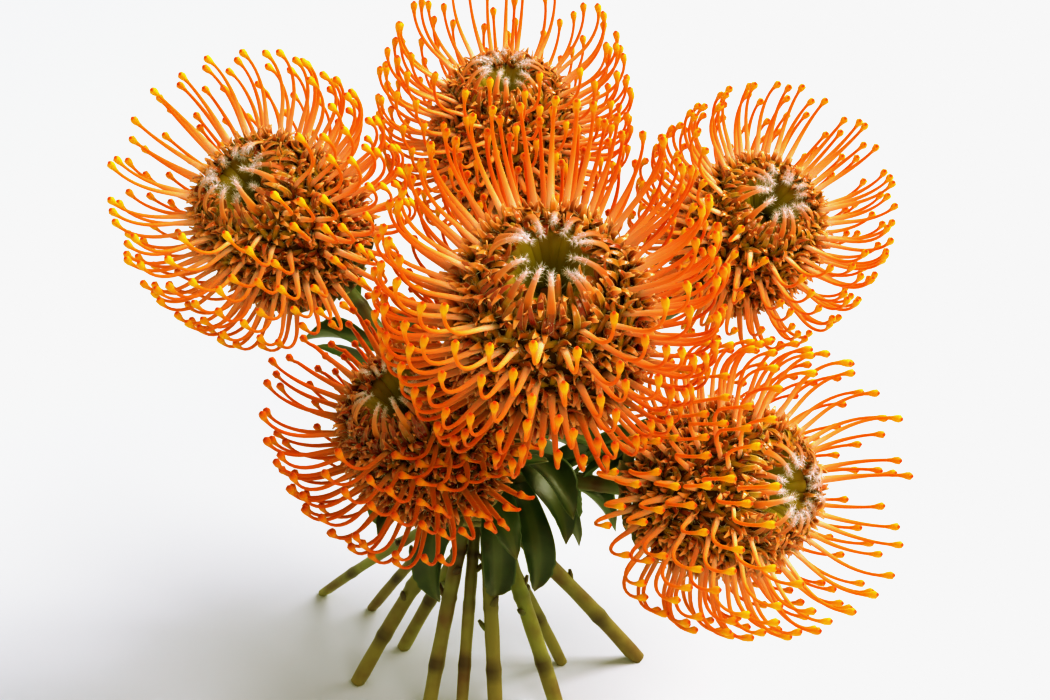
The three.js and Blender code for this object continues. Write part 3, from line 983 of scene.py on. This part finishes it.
    def styles(self, others: list["Head"], probe: Probe) -> Surface:
        """The styles, at most one to a floret, without those that would run into a stem or a leaf.

        Args:
            others: The other heads of the bunch.
            probe: Finds how far a point lies from the stems and leaves.

        Returns:
            The styles as flattened strands that widen at the root and end in a pear-shaped club.
        """
        height, turn = self.lattice()
        low, high = self.style_root_height
        rise = (height - low) / (high - low)
        lowest, highest = self.style_rows
        kept = (rise > lowest) & (rise < highest) & (np.arange(len(rise)) % self.bare_floret != 0)
        rise, turn = rise[kept], turn[kept]
        paths = self.kept_apart(self.style_paths(rise, turn), others)
        clear = probe.clear(paths[:, 1:], self.style_clearance)
        rise, turn, paths = rise[clear], turn[clear], paths[clear]
        stations = np.array(self.style_stations)
        width = along_table(self.style_width, stations)
        thick = width * along_table(self.style_roundness, stations)
        tone = self.ripeness + self.style_tone_play * swing(turn * 1.7 + self.seed)
        # Painted shade: the lowest styles are darkened towards their ripe colours and the top ones lightened.
        tone = np.clip(tone + self.painted_shade_slope * (self.style_even_rise - rise), 0, 1)
        side = sideways(turn) @ self.frame()
        surface = sweep(paths, width, thick, side, self.fine_sides, Skin.STYLE, tone)
        surface.along = np.tile(np.repeat(stations, self.fine_sides), len(paths))
        return surface

    def claw_paths(self, length: float, spread: float, lean: float) -> tuple[np.ndarray, np.ndarray]:
        """Paths of one claw of every floret.

        A claw starts in the bed, heads out, turns up along the body by claw_rise, and flares out again at
        its tip by a draw from claw_flare.

        Args:
            length: Length of the claw.
            spread: How far round the floret the claw stands, in degrees.
            lean: Its first heading above the body's normal, in degrees.

        Returns:
            The paths and the side direction of each, in the bunch's layout.
        """
        height, turn = self.lattice()
        i = np.arange(len(height))
        slope = self.outline(height + 0.5) - self.outline(height - 0.5)
        slope = (slope + np.where(height > self.top_height, self.top_slope, 0))[:, None]
        radial, side = level(turn), sideways(turn)
        normal, upward = unit(radial - slope * UP), unit(slope * radial + UP)
        draws = draw(i * 2.3 + spread + 31 * self.seed)
        turned = np.radians(spread + self.claw_play * (draws - 0.5))[:, None]
        forward = upward * np.cos(turned) + side * np.sin(turned)
        across = side * np.cos(turned) - upward * np.sin(turned)
        root = radial * (self.outline(height) - self.bed_depth)[:, None] + height[:, None] * UP
        root = root + forward * self.claw_start
        stations = len(self.claw_outline)
        t = np.linspace(0, 1, stations)[None]
        reach = length * mix(*self.claw_share, draw(i * 5.9 + spread))[:, None]
        rise = self.claw_rise * smoothstep(t, 0, self.claw_bend)
        flare = mix(*self.claw_flare, draws)[:, None] * smoothstep(t, self.claw_bend, 1.0)
        out, up = walk(np.radians(lean + rise - flare), reach / (stations - 1))
        out, up = out - out[:, :1], up - up[:, :1]
        paths = root[:, None] + normal[:, None] * out[..., None] + forward[:, None] * up[..., None]
        return self.placed(paths), across @ self.frame()

    def claw_tone(self, draws: np.ndarray) -> np.ndarray:
        """Tones of claws before they are clipped: a share of the head's ripeness, and a wide draw."""
        return self.claw_ripeness * self.ripeness + self.claw_tone_play * (draws - self.claw_tone_zero)

    def claws(self, probe: Probe) -> tuple[Surface, np.ndarray, np.ndarray]:
        """Four boat-shaped claws for each floret, and where hairs can stand on them.

        Args:
            probe: Finds how far a point lies from the stems and leaves, which the claws keep clear of.

        Returns:
            The surface, and the points and directions of the hairs on the claws' sides.
        """
        parts, roots, ways = [], [], []
        width = self.claw_half_width * self.size * np.array(self.claw_outline)
        for spread, share, lean in self.claw_places:
            paths, side = self.claw_paths(self.claw_length * share, spread, lean)
            i = np.arange(len(paths))
            tone = self.claw_tone(draw(i * 1.3 + spread))
            # Painted shade: the lowest claws are darkened towards their ripe colours and the top ones
            # lightened.
            tone = tone + self.painted_shade_slope * (self.claw_even_rise - i / len(i))
            clear = probe.clear(paths[:, 1:], self.claw_clearance)
            paths, side, tone = paths[clear], side[clear], np.clip(tone, 0, self.claw_tone_top)[clear]
            thick, fold = self.claw_half_thickness, np.array(self.claw_fold)
            parts.append(sweep(paths, width, thick, side, self.fine_sides, Skin.FLORET, tone, fold))
            way = unit(np.gradient(paths, axis=1))
            for station, hand in self.hair_places:
                roots.append(paths[:, station] + hand * width[station] * side)
                ways.append(way[:, station] + hand * self.hair_splay * side)
        return Surface.join(parts), np.concatenate(roots), unit(np.concatenate(ways))

    def hairs(self, roots: np.ndarray, ways: np.ndarray, length: float, radius: float) -> Surface:
        """Short straight hairs: four-sided spikes from a root along a way that is ruffled a little.

        Args:
            roots: Where the hairs stand.
            ways: Their directions.
            length: Their mean length.
            radius: Their radius at the root.

        Returns:
            The surface of all the hairs.
        """
        i = np.arange(len(roots))[:, None]
        ruffle = swing(i * 3.7 + np.array([[0.1, 17.3, 29.9]]) + self.seed)
        way = unit(ways + self.hair_ruffle * ruffle)
        reach = (length * mix(*self.hair_share, draw(i * 1.9)))[:, None]
        t = np.array([0, 1.0])[None, :, None]
        bend = unit(np.cross(way, ruffle + 0.01))
        paths = roots[:, None] + way[:, None] * reach * t + bend[:, None] * (self.hair_bow * reach * t**2)
        width = radius * np.array(self.hair_taper)
        return sweep(paths, width, width, bend, self.hair_sides, Skin.HAIR, draw(i[:, 0] * 2.1))

    def curling(
        self, ring: Ring, turn: np.ndarray, length: np.ndarray, heading: np.ndarray, twist: Numbers = 0
    ) -> tuple[np.ndarray, np.ndarray]:
        """Paths that start on a ring and walk in equal steps along their headings.

        Args:
            ring: The ring that they start from.
            turn: The angle of each path round the axis.
            length: The length of each path.
            heading: The heading at each station of each path, in degrees.
            twist: How far each station is turned on round the axis.

        Returns:
            The paths and the side direction of each, in the bunch's layout.
        """
        out, up = walk(np.radians(heading), length[:, None] / (heading.shape[1] - 1))
        paths = round_axis(ring.radius + out, turn[:, None] + twist, ring.height + up)
        return self.placed(paths), sideways(turn) @ self.frame()

    def bracts(self, probe: Probe) -> Surface:
        """Rings of short pointed bracts over the foot of the bed, but not where a leaf or stem touches it.

        Args:
            probe: Finds how far a point lies from the stems and leaves.

        Returns:
            The surface of all the bracts.
        """
        parts = []
        width = self.size * np.array(self.bract_half_width)
        t = np.linspace(0, 1, len(width))[None]
        for row, ring in enumerate(self.bract_rings):
            i = np.arange(ring.count)
            turn = spaced(ring.count, self.bract_play * swing(i * 3.1 + row + self.seed), self.row_shift * row)
            length = ring.length * mix(*self.bract_share, draw(i * 2.7 + row))
            heading = self.bract_heading + mix(*self.bract_curl, draw(i * 1.7 + row))[:, None] * t
            paths, side = self.curling(ring, turn, length, heading)
            clear = probe.clear(paths, self.bract_clearance if row else self.foot_clearance)
            paths, side, tone = paths[clear], side[clear], draw(i * 5.1 + row)[clear]
            thick = self.bract_half_thickness * self.size
            parts.append(sweep(paths, width, thick, side, self.fine_sides, Skin.BRACT, tone, self.bract_fold))
        return Surface.join(parts)

    def straps(self) -> Surface:
        """Unopened straps that line the hollow: each rises from the rim and arches down to the floor,
        darkening towards it in painted shade.

        Returns:
            The straps, each carried along strap_line.
        """
        i = np.arange(self.strap_count)
        turn = spaced(self.strap_count, self.strap_play * swing(i + self.seed))
        radius, height = np.array(self.strap_line).T
        height = height + self.strap_height_play * swing(i * 3.3)[:, None]
        paths = self.placed(round_axis(radius, turn[:, None], height))
        width = np.array(self.strap_half_width) * self.size
        thick = np.array(self.strap_half_thickness) * self.size
        tone = draw(i * 4.1 + self.seed)
        side = sideways(turn) @ self.frame()
        return sweep(paths, width, thick, side, self.broad_sides, Skin.HOLLOW, tone)

    def rim(self) -> Surface:
        """Rings of short claws on the rim, which curl in towards the hollow over the straps' outer parts.

        Returns:
            The claws of all the rings.
        """
        parts = []
        width = self.claw_half_width * self.size * np.array(self.rim_outline)
        t = np.linspace(0, 1, len(width))[None]
        for row, ring in enumerate(self.rim_rings):
            i = np.arange(ring.count)
            turn = spaced(ring.count, self.rim_play * swing(i * 2.3 + row + self.seed), self.row_shift * row)
            length = ring.length * mix(*self.rim_share, draw(i * 4.7 + row))
            heading = self.rim_heading + mix(*self.rim_curl, draw(i * 7.9 + 3 * row))[:, None] * t
            twist = self.rim_play * swing(i * 1.1 + row)[:, None] * t
            paths, side = self.curling(ring, turn, length, heading, twist)
            tone = np.clip(self.claw_tone(draw(i * 5.3 + row)), 0, 1)
            thick = self.claw_half_thickness
            parts.append(sweep(paths, width, thick, side, self.fine_sides, Skin.FLORET, tone, self.rim_fold))
        return Surface.join(parts)

    def crown(self) -> tuple[Surface, np.ndarray, np.ndarray]:
        """The crown of claws that curl in over the hollow and end in woolly tips.

        Returns:
            The surface, and the points and directions of the wool on the tips.
        """
        ring = self.crown_ring
        i = np.arange(ring.count)
        width = np.array(self.crown_half_width) * self.size
        thick = np.array(self.crown_half_thickness) * self.size
        t = np.linspace(0, 1, len(width))[None]
        turn = spaced(ring.count, self.crown_play * swing(i * 2.9 + self.seed))
        length = ring.length * mix(*self.crown_share, draw(i * 6.1 + self.seed))
        heading = self.crown_heading + mix(*self.crown_curl, draw(i * 8.3))[:, None] * t
        paths, side = self.curling(ring, turn, length, heading)
        tone, fold = draw(i * 3.9), self.crown_fold
        surface = sweep(paths, width, thick, side, self.broad_sides, Skin.CROWN, tone, fold)
        way = unit(np.gradient(paths, axis=1))
        up = np.cross(side[:, None], way)
        points, ways = [], []
        for station in self.wool_stations:
            for k in range(self.wool_count):
                a = k * self.wool_turn + station
                out = math.cos(a) * side + math.sin(a) * up[:, station]
                points.append(paths[:, station] + self.wool_root * self.size * out)
                ways.append(self.wool_splay * out + way[:, station])
        return surface, np.concatenate(points), unit(np.concatenate(ways))

    def build(self, others: list["Head"], probe: Probe, materials: Materials) -> bpy.types.Object:
        """The whole head as one piece.

        Args:
            others: The other heads of the bunch.
            probe: Finds how far a point lies from the stems and leaves.
            materials: The material of each finish.

        Returns:
            The piece that stands for the head's node.
        """
        claws, claw_points, claw_ways = self.claws(probe)
        crown, wool_points, wool_ways = self.crown()
        wool_length = mix(*self.wool_length, self.ripeness) * self.size
        parts = [
            self.bed(),
            self.styles(others, probe),
            claws,
            self.rim(),
            self.straps(),
            self.bracts(probe),
            crown,
            self.hairs(claw_points, claw_ways, self.hair_length * self.size, self.hair_radius),
            self.hairs(wool_points, wool_ways, wool_length, self.wool_radius),
        ]
        return make_piece(f"{self.name}_bloom", Surface.join(parts), self.name, materials)


# The stems and leaves


@dataclass(frozen=True)
class Midrib:
    """The line of a leaf, out from its root along a level heading at the slope climb - droop * along."""

    root: np.ndarray
    heading: float
    climb: float
    droop: float
    length: float

    def points(self, along: np.ndarray) -> np.ndarray:
        """Points at the given shares of the leaf's length."""
        slope = (self.climb - self.droop * along)[:, None]
        reach = (self.length * along)[:, None]
        return self.root + np.cos(slope) * reach * level(self.heading) + np.sin(slope) * reach * UP


@dataclass
class Stem:
    """One stem with its nodes and leaves.

    foot is where it stands, waist is how far round the tie and how far from its middle it passes, leaves is
    their number and the place of the lowest, and it ends either in its head or at its tip.

    The part's own sizes are repeated here. Places on the stem run from 0, below the floor, to 0.5 at the
    waist and 1 at its neck. A leaf is tried at each of shrink_steps, turn_steps and curl_steps, and may
    stand leaf_slack outside the part's own leaf.
    """

    name: str
    foot: Range
    waist: Range
    radius: float
    leaves: tuple[int, float]
    number: int
    head: Head | None = None
    tip: Triple | None = None

    tie_height: float = 80.0
    past_floor: float = 14.0
    neck: float = 4.0
    gap: float = 0.35
    straight: float = 0.72
    upright: float = 16.0
    leave: float = 0.3
    approach: float = 0.36
    tip_thinning: float = 0.8

    bark_rows: int = 111
    bark_sides: int = 14
    nodes_along: Row = (0.1, 0.2, 0.31, 0.4, 0.6, 0.75, 0.88)
    node_play: float = 0.03
    node_swelling: float = 0.13
    node_length: float = 0.006
    scar_length: float = 0.011
    scar_depth: Range = (0.3, 1.0)
    scar_turn: float = 2.4
    waviness: float = 0.03
    waves: float = 90.0

    stubs_along: Row = (0.16, 0.2, 0.25, 0.3, 0.35)
    stub_play: float = 0.02
    stub_turn: float = 2.4
    stub_length: Range = (1.2, 3.4)
    stub_lift: float = 0.8
    stub_half_width: Row = (2.0, 1.9, 1.7, 1.4, 0.8)
    stub_flatness: float = 0.7
    stub_colour: float = 0.3
    stub_sides: int = 8
    stub_clearance: float = 1.8

    leaf_length: float = 42.0
    leaf_half_width: float = 6.4
    leaf_outline: Table = ((0, 0.12), (0.3, 0.72), (0.58, 1.0), (0.84, 0.74), (1, 0))
    leaf_highest: float = 0.9
    leaf_turn_play: float = 1.6
    leaf_climb: Range = (0.3, 0.95)
    leaf_droop: Range = (1.6, 0.4)
    droop_from: float = 0.54
    droop_rate: float = 4.0
    droop_play: float = 0.3
    leaf_width_power: float = 0.6
    leaf_half_thickness: float = 0.45
    stalk_half_thickness: float = 0.9
    stalk_share: float = 0.1
    teeth: int = 14
    tooth_depth: float = 0.1
    teeth_start: Range = (0.74, 0.86)
    leaf_channel: float = 0.5
    leaf_wave: float = 0.42
    leaf_rows: int = 34
    leaf_sides: int = 14
    shrink_steps: Row = (1, 0.84, 0.68, 0.54, 0.42)
    turn_steps: Row = (0, 25, -25, 50, -50, 80, -80)
    curl_steps: Row = (1.0, 0.6, 0.3, 0.0)
    leaf_slack: float = 0.8
    leaf_clearance: float = 0.6

    def curves(self) -> tuple[list[np.ndarray], list[np.ndarray], np.ndarray]:
        """The corners of the stem's lower and upper Bezier curves, and its end.

        Returns:
            Four corners up to the waist, four from there to the neck, and the end.
        """
        degrees, reach = self.waist
        foot = np.array([*self.foot, 0.0])
        waist = round_axis(reach, math.radians(degrees), self.tie_height)
        below = mix(foot, waist, -self.past_floor / self.tie_height)
        lower = [below, mix(foot, waist, self.straight), waist - self.upright * UP, waist]
        if self.head:
            arrival = unit(np.array(self.head.axis))
            end = np.array(self.head.centre) + arrival * (self.head.body_bottom * self.head.size - self.gap)
        else:
            end = np.array(self.tip)
            arrival = unit(end - waist)
        neck = end - arrival * self.neck
        span = float(np.linalg.norm(neck - waist))
        lift = waist + max(span * self.leave, self.upright) * UP
        return lower, [waist, lift, neck - arrival * span * self.approach, neck], end

    def point(self, t: Numbers) -> np.ndarray:
        """Points at places on the stem."""
        lower, upper, _ = self.curves()
        t = np.atleast_1d(t)
        low, high = bezier(lower, np.minimum(t * 2, 1)), bezier(upper, np.maximum(t * 2 - 1, 0))
        return np.where((t < 0.5)[:, None], low, high)

    def bark(self) -> Surface:
        """The stem, swollen and scarred at its nodes.

        Returns:
            A strand whose radius is the stem's own, plus a bell curve at each node and fine waves, and whose
            edge value marks the scars, which are darker on one side.
        """
        t = np.linspace(0, 1, self.bark_rows)
        path = self.point(t)
        first = int(np.argmax(path[:, 2] > 0))
        share = path[first, 2] / (path[first, 2] - path[first - 1, 2])
        start = mix(path[first], path[first - 1], share)
        _, _, end = self.curves()
        path = np.concatenate([start[None], path[first:], end[None]])
        t = np.concatenate([[t[first]], t[first:], [1.02]])
        nodes = np.array(self.nodes_along)
        nodes = nodes + self.node_play * swing(np.arange(len(nodes)) + 11 * self.number)
        away = t[:, None] - nodes
        bell = np.exp(-((away / self.node_length) ** 2)).max(1)
        scar = np.exp(-((away / self.scar_length) ** 4)).max(1)
        thin = np.where((t > 0.5) & (self.head is None), self.tip_thinning, 1.0)
        swelling = self.node_swelling * bell + self.waviness * np.sin(t * self.waves + self.number)
        radius = self.radius * thin * (1 + swelling)
        sides, tone = self.bark_sides, draw(self.number * 3.3)
        surface = sweep(path[None], radius, radius, np.array([[1.0, 0, 0]]), sides, Skin.BARK, tone)
        ring = np.tile(np.arange(sides) * 2 * np.pi / sides, len(t))
        rows = np.repeat(np.arange(len(t)), sides)
        side = 0.5 + 0.5 * np.cos(ring - self.scar_turn * np.round(t * 9)[rows])
        surface.edge = scar[rows] * mix(*self.scar_depth, side)
        surface.along = t[rows]
        surface.points[:, 2] = np.maximum(surface.points[:, 2], 0)
        return surface

    def stubs(self, others: Probe) -> Surface:
        """Stubs of trimmed leaf stalks and buds below the tie: small flattened cones, clear of other stems.

        Args:
            others: Finds how far a point lies from the other solids.

        Returns:
            The stubs. Each leans up the stem by stub_lift * s^2 of its length.
        """
        t = np.array(self.stubs_along)
        i = np.arange(len(t))
        t = t + self.stub_play * swing(i + 5 * self.number)
        root = self.point(t)
        way = unit(self.point(t + 0.01) - root)
        turn = i * self.stub_turn + self.number * 1.3
        out = level(turn)
        out = unit(out - way * (out * way).sum(-1, keepdims=True))
        width = np.array(self.stub_half_width)
        s = np.linspace(0, 1, len(width))[None, :, None]
        length = (self.radius + mix(*self.stub_length, draw(turn)))[:, None, None]
        rise = way[:, None] * (length * self.stub_lift * s**2)
        paths = root[:, None] + out[:, None] * length * s + rise
        clear = others.clear(paths, self.stub_clearance)
        side, tone = np.cross(out, way)[clear], draw(turn * 2)[clear]
        thick = width * self.stub_flatness
        surface = sweep(paths[clear], width, thick, side, self.stub_sides, Skin.BARK, tone)
        surface.edge = surface.along
        surface.along = np.full(len(surface.along), self.stub_colour)
        return surface

    def leaf(self, k: int, probe: Probe, others: Probe) -> Surface | None:
        """Leaf k of the stem, in the place where the part's own solid has it.

        Each turn and length that the leaf may have is tried against the stem's solid, and the first whose
        midrib lies in the solid all along is the leaf.

        Args:
            k: The number of the leaf, from the lowest.
            probe: Finds how far a point lies from the stem's own solid.
            others: Finds how far it lies from the other solids.

        Returns:
            The leaf, or None where the solid has none.
        """
        count, lowest = self.leaves
        i = self.number - 1
        t = mix(lowest, self.leaf_highest, (k + float(draw(7 * i + k))) / count)
        root = self.point(t)[0]
        heading = math.atan2(root[1], root[0]) + self.leaf_turn_play * float(swing(31 * i + k))
        height = (t - self.droop_from) * self.droop_rate + self.droop_play * float(swing(13 * i + 5 * k))
        height = min(max(height, 0), 1)
        climb, droop = mix(*self.leaf_climb, height), mix(*self.leaf_droop, height)
        marks = np.array(self.leaf_outline)[1:, 0]
        for shrink in self.shrink_steps:
            for turn in self.turn_steps:
                midrib = Midrib(root, heading + math.radians(turn), climb, droop, self.leaf_length * shrink)
                if probe.distances(midrib.points(marks)).max() < self.leaf_slack:
                    half = self.leaf_half_width * shrink**self.leaf_width_power
                    return self.fitted_leaf(midrib, half, float(draw(3 * i + 7 * k)), others)
        return None

    def fitted_leaf(self, midrib: Midrib, half: float, tone: float, others: Probe) -> Surface:
        """The leaf at the first of its curls that keeps it clear of the other solids, or else the last.

        Args:
            midrib: The leaf's own line.
            half: Its half width.
            tone: Its tone.
            others: Finds how far a point lies from the other solids.

        Returns:
            The surface of the leaf.
        """
        for curl in self.curl_steps:
            leaf = self.leaf_surface(midrib, half, tone, curl)
            if others.distances(leaf.points[2 * self.leaf_sides :: 3]).min() > self.leaf_clearance:
                break
        return leaf

    def leaf_surface(self, midrib: Midrib, half: float, tone: float, curl: float) -> Surface:
        """The surface of a leaf: a thin lens, channelled, waved at its sides and toothed near its tip.

        Its sides are lifted by curl * (-leaf_channel - leaf_wave * sin(8 s + 9 tone)) of the half width.

        Args:
            midrib: The leaf's own line.
            half: Its half width.
            tone: Its tone, which also moves the waves of its sides.
            curl: How much of its curl it has.

        Returns:
            A strand whose top value is 1 on the upper face, and whose edge value is 1 along the midrib.
        """
        s = np.linspace(0, 1, self.leaf_rows)
        places, widths = zip(*self.leaf_outline)
        outline = np.clip(np.polyval(np.polyfit(places, widths, 4), s), 0.02, None)
        zigzag = np.abs((s * self.teeth) % 1 - 0.5) * 4 - 1
        teeth = 1 + self.tooth_depth * smoothstep(s, *self.teeth_start) * zigzag
        thick = np.where(s < self.stalk_share, self.stalk_half_thickness, self.leaf_half_thickness)
        thick = thick * np.clip(outline * 4, 0.1, 1)
        fold = curl * (-self.leaf_channel - self.leaf_wave * np.sin(s * 8 + tone * 9))
        sides, side = self.leaf_sides, sideways(midrib.heading)[None]
        width = half * outline * teeth
        surface = sweep(midrib.points(s)[None], width, thick, side, sides, Skin.LEAF, tone, fold)
        ring = np.tile(np.arange(sides) * 2 * np.pi / sides, len(s))
        surface.top = np.where(np.sin(ring) < 0, 1.0, 0.0)
        surface.edge = 1 - np.abs(np.cos(ring))
        return surface

    def build(self, own: Probe, others: Probe, materials: Materials) -> bpy.types.Object:
        """The stem with its stubs and leaves as one piece.

        Args:
            own: Finds how far a point lies from the stem's own solid.
            others: Finds how far it lies from the other solids.
            materials: The material of each finish.

        Returns:
            The piece that stands for the stem's node.
        """
        leaves = [self.leaf(k, own, others) for k in range(self.leaves[0])]
        found = [leaf for leaf in leaves if leaf]
        log.info("%s: %d of %d leaves", self.name, len(found), len(leaves))
        surface = Surface.join([self.bark(), self.stubs(others), *found])
        return make_piece(f"{self.name}_stalk", surface, self.name, materials)


@dataclass
class Tie:
    """Turns of twisted twine round the waist of the stems."""

    height: float = 80.0
    inner_radius: float = 13.8
    turn_radius: float = 1.3
    turns: int = 3
    steps: int = 193
    sides: int = 10
    ply_radius: float = 0.88
    ply_ripple: float = 0.12
    twists: int = 24

    def build(self, materials: Materials) -> bpy.types.Object:
        """The tie as one piece: rings whose radius ripples where the two plies of the twine cross over.

        Args:
            materials: The material of each finish.

        Returns:
            The piece that stands for the tie's node.
        """
        angle = np.linspace(0, 2 * np.pi, self.steps)
        parts = []
        for k in range(self.turns):
            height = self.height + (k - (self.turns - 1) / 2) * 2 * self.turn_radius
            path = round_axis(self.inner_radius + self.turn_radius, angle, height)
            ring = sweep(path[None], 1.0, 1.0, UP[None], self.sides, Skin.TWINE, 0.3 * k)
            ring.points = self._plied(path, angle[:, None])
            parts.append(ring)
        return make_piece("tie_twine", Surface.join(parts), "tie", materials)

    def _plied(self, path: np.ndarray, angle: np.ndarray) -> np.ndarray:
        """Points of two plies wound round each other.

        Args:
            path: Points along the middle of the twine.
            angle: The angle of each round the tie.

        Returns:
            Rings at turn_radius * (ply_radius + ply_ripple * cos(2 (ring angle - twists * angle))).
        """
        ring = np.arange(self.sides)[None] * 2 * np.pi / self.sides
        ripple = self.ply_ripple * np.cos(2 * (ring - self.twists * angle))
        radius = self.turn_radius * (self.ply_radius + ripple)
        points = path[:, None] + (radius * np.sin(ring))[..., None] * level(angle)
        return (points + (radius * np.cos(ring))[..., None] * UP).reshape(-1, 3)


# The studio


@dataclass(frozen=True)
class Lamp:
    """A round area light at a place, turned towards an aim. Its places are metres in the part's frame."""

    name: str
    place: Triple
    aim: Triple
    size: float
    power: float
    colour: Triple

    def build(self) -> None:
        """Adds the light to the scene."""
        data = bpy.data.lights.new(self.name, "AREA")
        data.shape, data.size, data.energy, data.color = "DISK", self.size, self.power, self.colour
        lamp = bpy.data.objects.new(self.name, data)
        lamp.location = self.place
        lamp.rotation_euler = (Vector(self.aim) - Vector(self.place)).to_track_quat("-Z", "Y").to_euler()
        bpy.context.scene.collection.objects.link(lamp)


@dataclass
class Studio:
    """The pale floor, the bright sky, a large window behind on the right, a weak fill, and the camera.

    The eye is in millimetres of the bunch's layout. The floor and the camera's sight are in metres.
    """

    eye: Triple = (19.0, -690.0, 465.0)
    look_down: float = 25.0
    lens: float = 70.0
    sensor: float = 36.0
    sight: Range = (0.01, 50)
    floor_half: float = 6.0
    floor_colour: str = "#cbcdd0"
    floor_roughness: float = 0.7
    floor_specular: float = 0.2
    floor_drop: float = 0.0002
    sky_colour: tuple[float, float, float, float] = (0.97, 0.98, 1.0, 1)
    sky_strength: float = 0.5
    lamps: tuple[Lamp, ...] = (
        Lamp("window", (6.0, 2.0, 7.0), (0, 0, 0.1), 6.5, 1450.0, (1.0, 0.99, 0.97)),
        Lamp("fill", (0.7, -1.1, 1.5), (0, 0, 0.15), 0.9, 14.0, (1.0, 0.98, 0.96)),
    )
    tone_curve: Table = ((0.25, 0.26), (0.5, 0.55), (0.76, 0.82))
    blue_curve: Table = ((0.14, 0.06), (0.4, 0.35), (0.7, 0.71))
    paper_white: float = 0.93

    def camera(self) -> None:
        """The camera, looking level along the depth of the scene and turned down."""
        data = bpy.data.cameras.new("camera")
        data.lens, data.sensor_width = self.lens, self.sensor
        data.clip_start, data.clip_end = self.sight
        camera = bpy.data.objects.new("camera", data)
        camera.location = (np.array(self.eye) - OUTLINE_MIDDLE) / 1000
        camera.rotation_euler = (math.radians(90 - self.look_down), 0, 0)
        bpy.context.scene.collection.objects.link(camera)
        bpy.context.scene.camera = camera

    def floor(self) -> None:
        """A wide pale floor just under the stem ends."""
        mesh = bpy.data.meshes.new("floor")
        signs = ((-1, -1), (1, -1), (1, 1), (-1, 1))
        corners = [(x * self.floor_half, y * self.floor_half, 0) for x, y in signs]
        mesh.from_pydata(corners, [], [(0, 1, 2, 3)])
        material = bpy.data.materials.new("floor")
        material.use_nodes = True
        shader = material.node_tree.nodes["Principled BSDF"]
        gloss = {"Roughness": self.floor_roughness, "Specular IOR Level": self.floor_specular}
        set_inputs(shader, {"Base Color": linear(self.floor_colour)} | gloss)
        mesh.materials.append(material)
        floor = bpy.data.objects.new("floor", mesh)
        floor.location.z = -self.floor_drop
        bpy.context.scene.collection.objects.link(floor)

    def sky(self) -> None:
        """A bright sky all round."""
        world = bpy.data.worlds.new("studio")
        world.use_nodes = True
        background = world.node_tree.nodes["Background"]
        set_inputs(background, {"Color": self.sky_colour, "Strength": self.sky_strength})
        bpy.context.scene.world = world

    def grading(self) -> None:
        """The plain view, with its white a little under the brightest and with the weak blues held back."""
        view = bpy.context.scene.view_settings
        view.view_transform = "Standard"
        view.use_curve_mapping = True
        view.curve_mapping.extend = "HORIZONTAL"
        blue, all_three = view.curve_mapping.curves[2], view.curve_mapping.curves[3]
        for place, value in self.blue_curve:
            blue.points.new(place, value)
        for place, value in self.tone_curve:
            all_three.points.new(place, value)
        all_three.points[-1].location = (1.0, self.paper_white)
        view.curve_mapping.update()

    def build(self) -> None:
        """Sets up the camera, the floor, the lights and the grading."""
        self.camera()
        self.floor()
        self.sky()
        for lamp in self.lamps:
            lamp.build()
        self.grading()


HEADS = [
    Head("head_1", (27, -78, 193), (0, -0.54, 0.84), 1.05, 66, 0.58, 1, 12, 0.7, style_slant=(2.0, 42.0)),
    Head("head_2", (-72, 11, 192), (-0.42, -0.51, 0.75), 0.92, 54, 0.15, 2),
    # head_3's ripeness past 1 is partly its own redder brown and partly painted shade from head_1 above it.
    Head("head_3", (-17, -52, 136), (-0.37, -0.45, 0.81), 0.88, 43, 1.1, 3, 3),
    Head("head_4", (91, -54, 114), (0.72, -0.6, 0.33), 0.94, 53, 0.22, 4),
    Head("head_5", (107, 51, 171), (0.3, -0.6, 0.74), 0.875, 50, 0.0, 5),
    Head("head_6", (11, 88, 199), (0, -0.24, 0.97), 0.9, 50, 0.25, 6),
]

STEMS = [
    Stem("stem_1", (-68, 60), (156, 10.5), 2.0, (3, 0.6), 1, tip=(-44, 44, 138)),
    Stem("stem_2", (-46, 48), (115, 10.7), 2.1, (4, 0.58), 2, tip=(-14, 58, 148)),
    Stem("stem_3", (-48, -7), (205, 9.95), 2.9, (3, 0.57), 3, head=HEADS[1]),
    Stem("stem_4", (-31, 18), (66, 9.8), 2.6, (4, 0.56), 4, head=HEADS[5]),
    Stem("stem_5", (-19, -29), (240, 9.78), 2.8, (5, 0.54), 5, head=HEADS[2]),
    Stem("stem_6", (-6, -37), (268, 3.5), 2.3, (9, 0.54), 6, tip=(2, -8, 142)),
    Stem("stem_7", (8, -39), (296, 10.25), 2.8, (8, 0.54), 7, head=HEADS[0]),
    Stem("stem_8", (32, -26), (336, 9.04), 3.0, (8, 0.54), 8, head=HEADS[3]),
    Stem("stem_9", (34, 7), (42, 4.1), 2.3, (8, 0.54), 9, tip=(50, 8, 138)),
    Stem("stem_10", (65, 10), (23, 9.2), 3.0, (5, 0.57), 10, head=HEADS[4]),
]


def main() -> None:
    """Builds the studio, then the stems, the tie and the heads."""
    logging.basicConfig(level=logging.INFO, format="%(name)s %(message)s")
    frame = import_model()
    Studio().build()
    materials = Dresser().dress_all()
    nodes = frame["nodes"]
    for stem in STEMS:
        others = [node for name, node in nodes.items() if name != stem.name]
        stem.build(Probe([nodes[stem.name]]), Probe(others), materials)
    Tie().build(materials)
    greens = Probe([nodes[stem.name] for stem in STEMS])
    for head in HEADS:
        head.build([other for other in HEADS if other is not head], greens, materials)


if __name__ == "__main__":
    main()
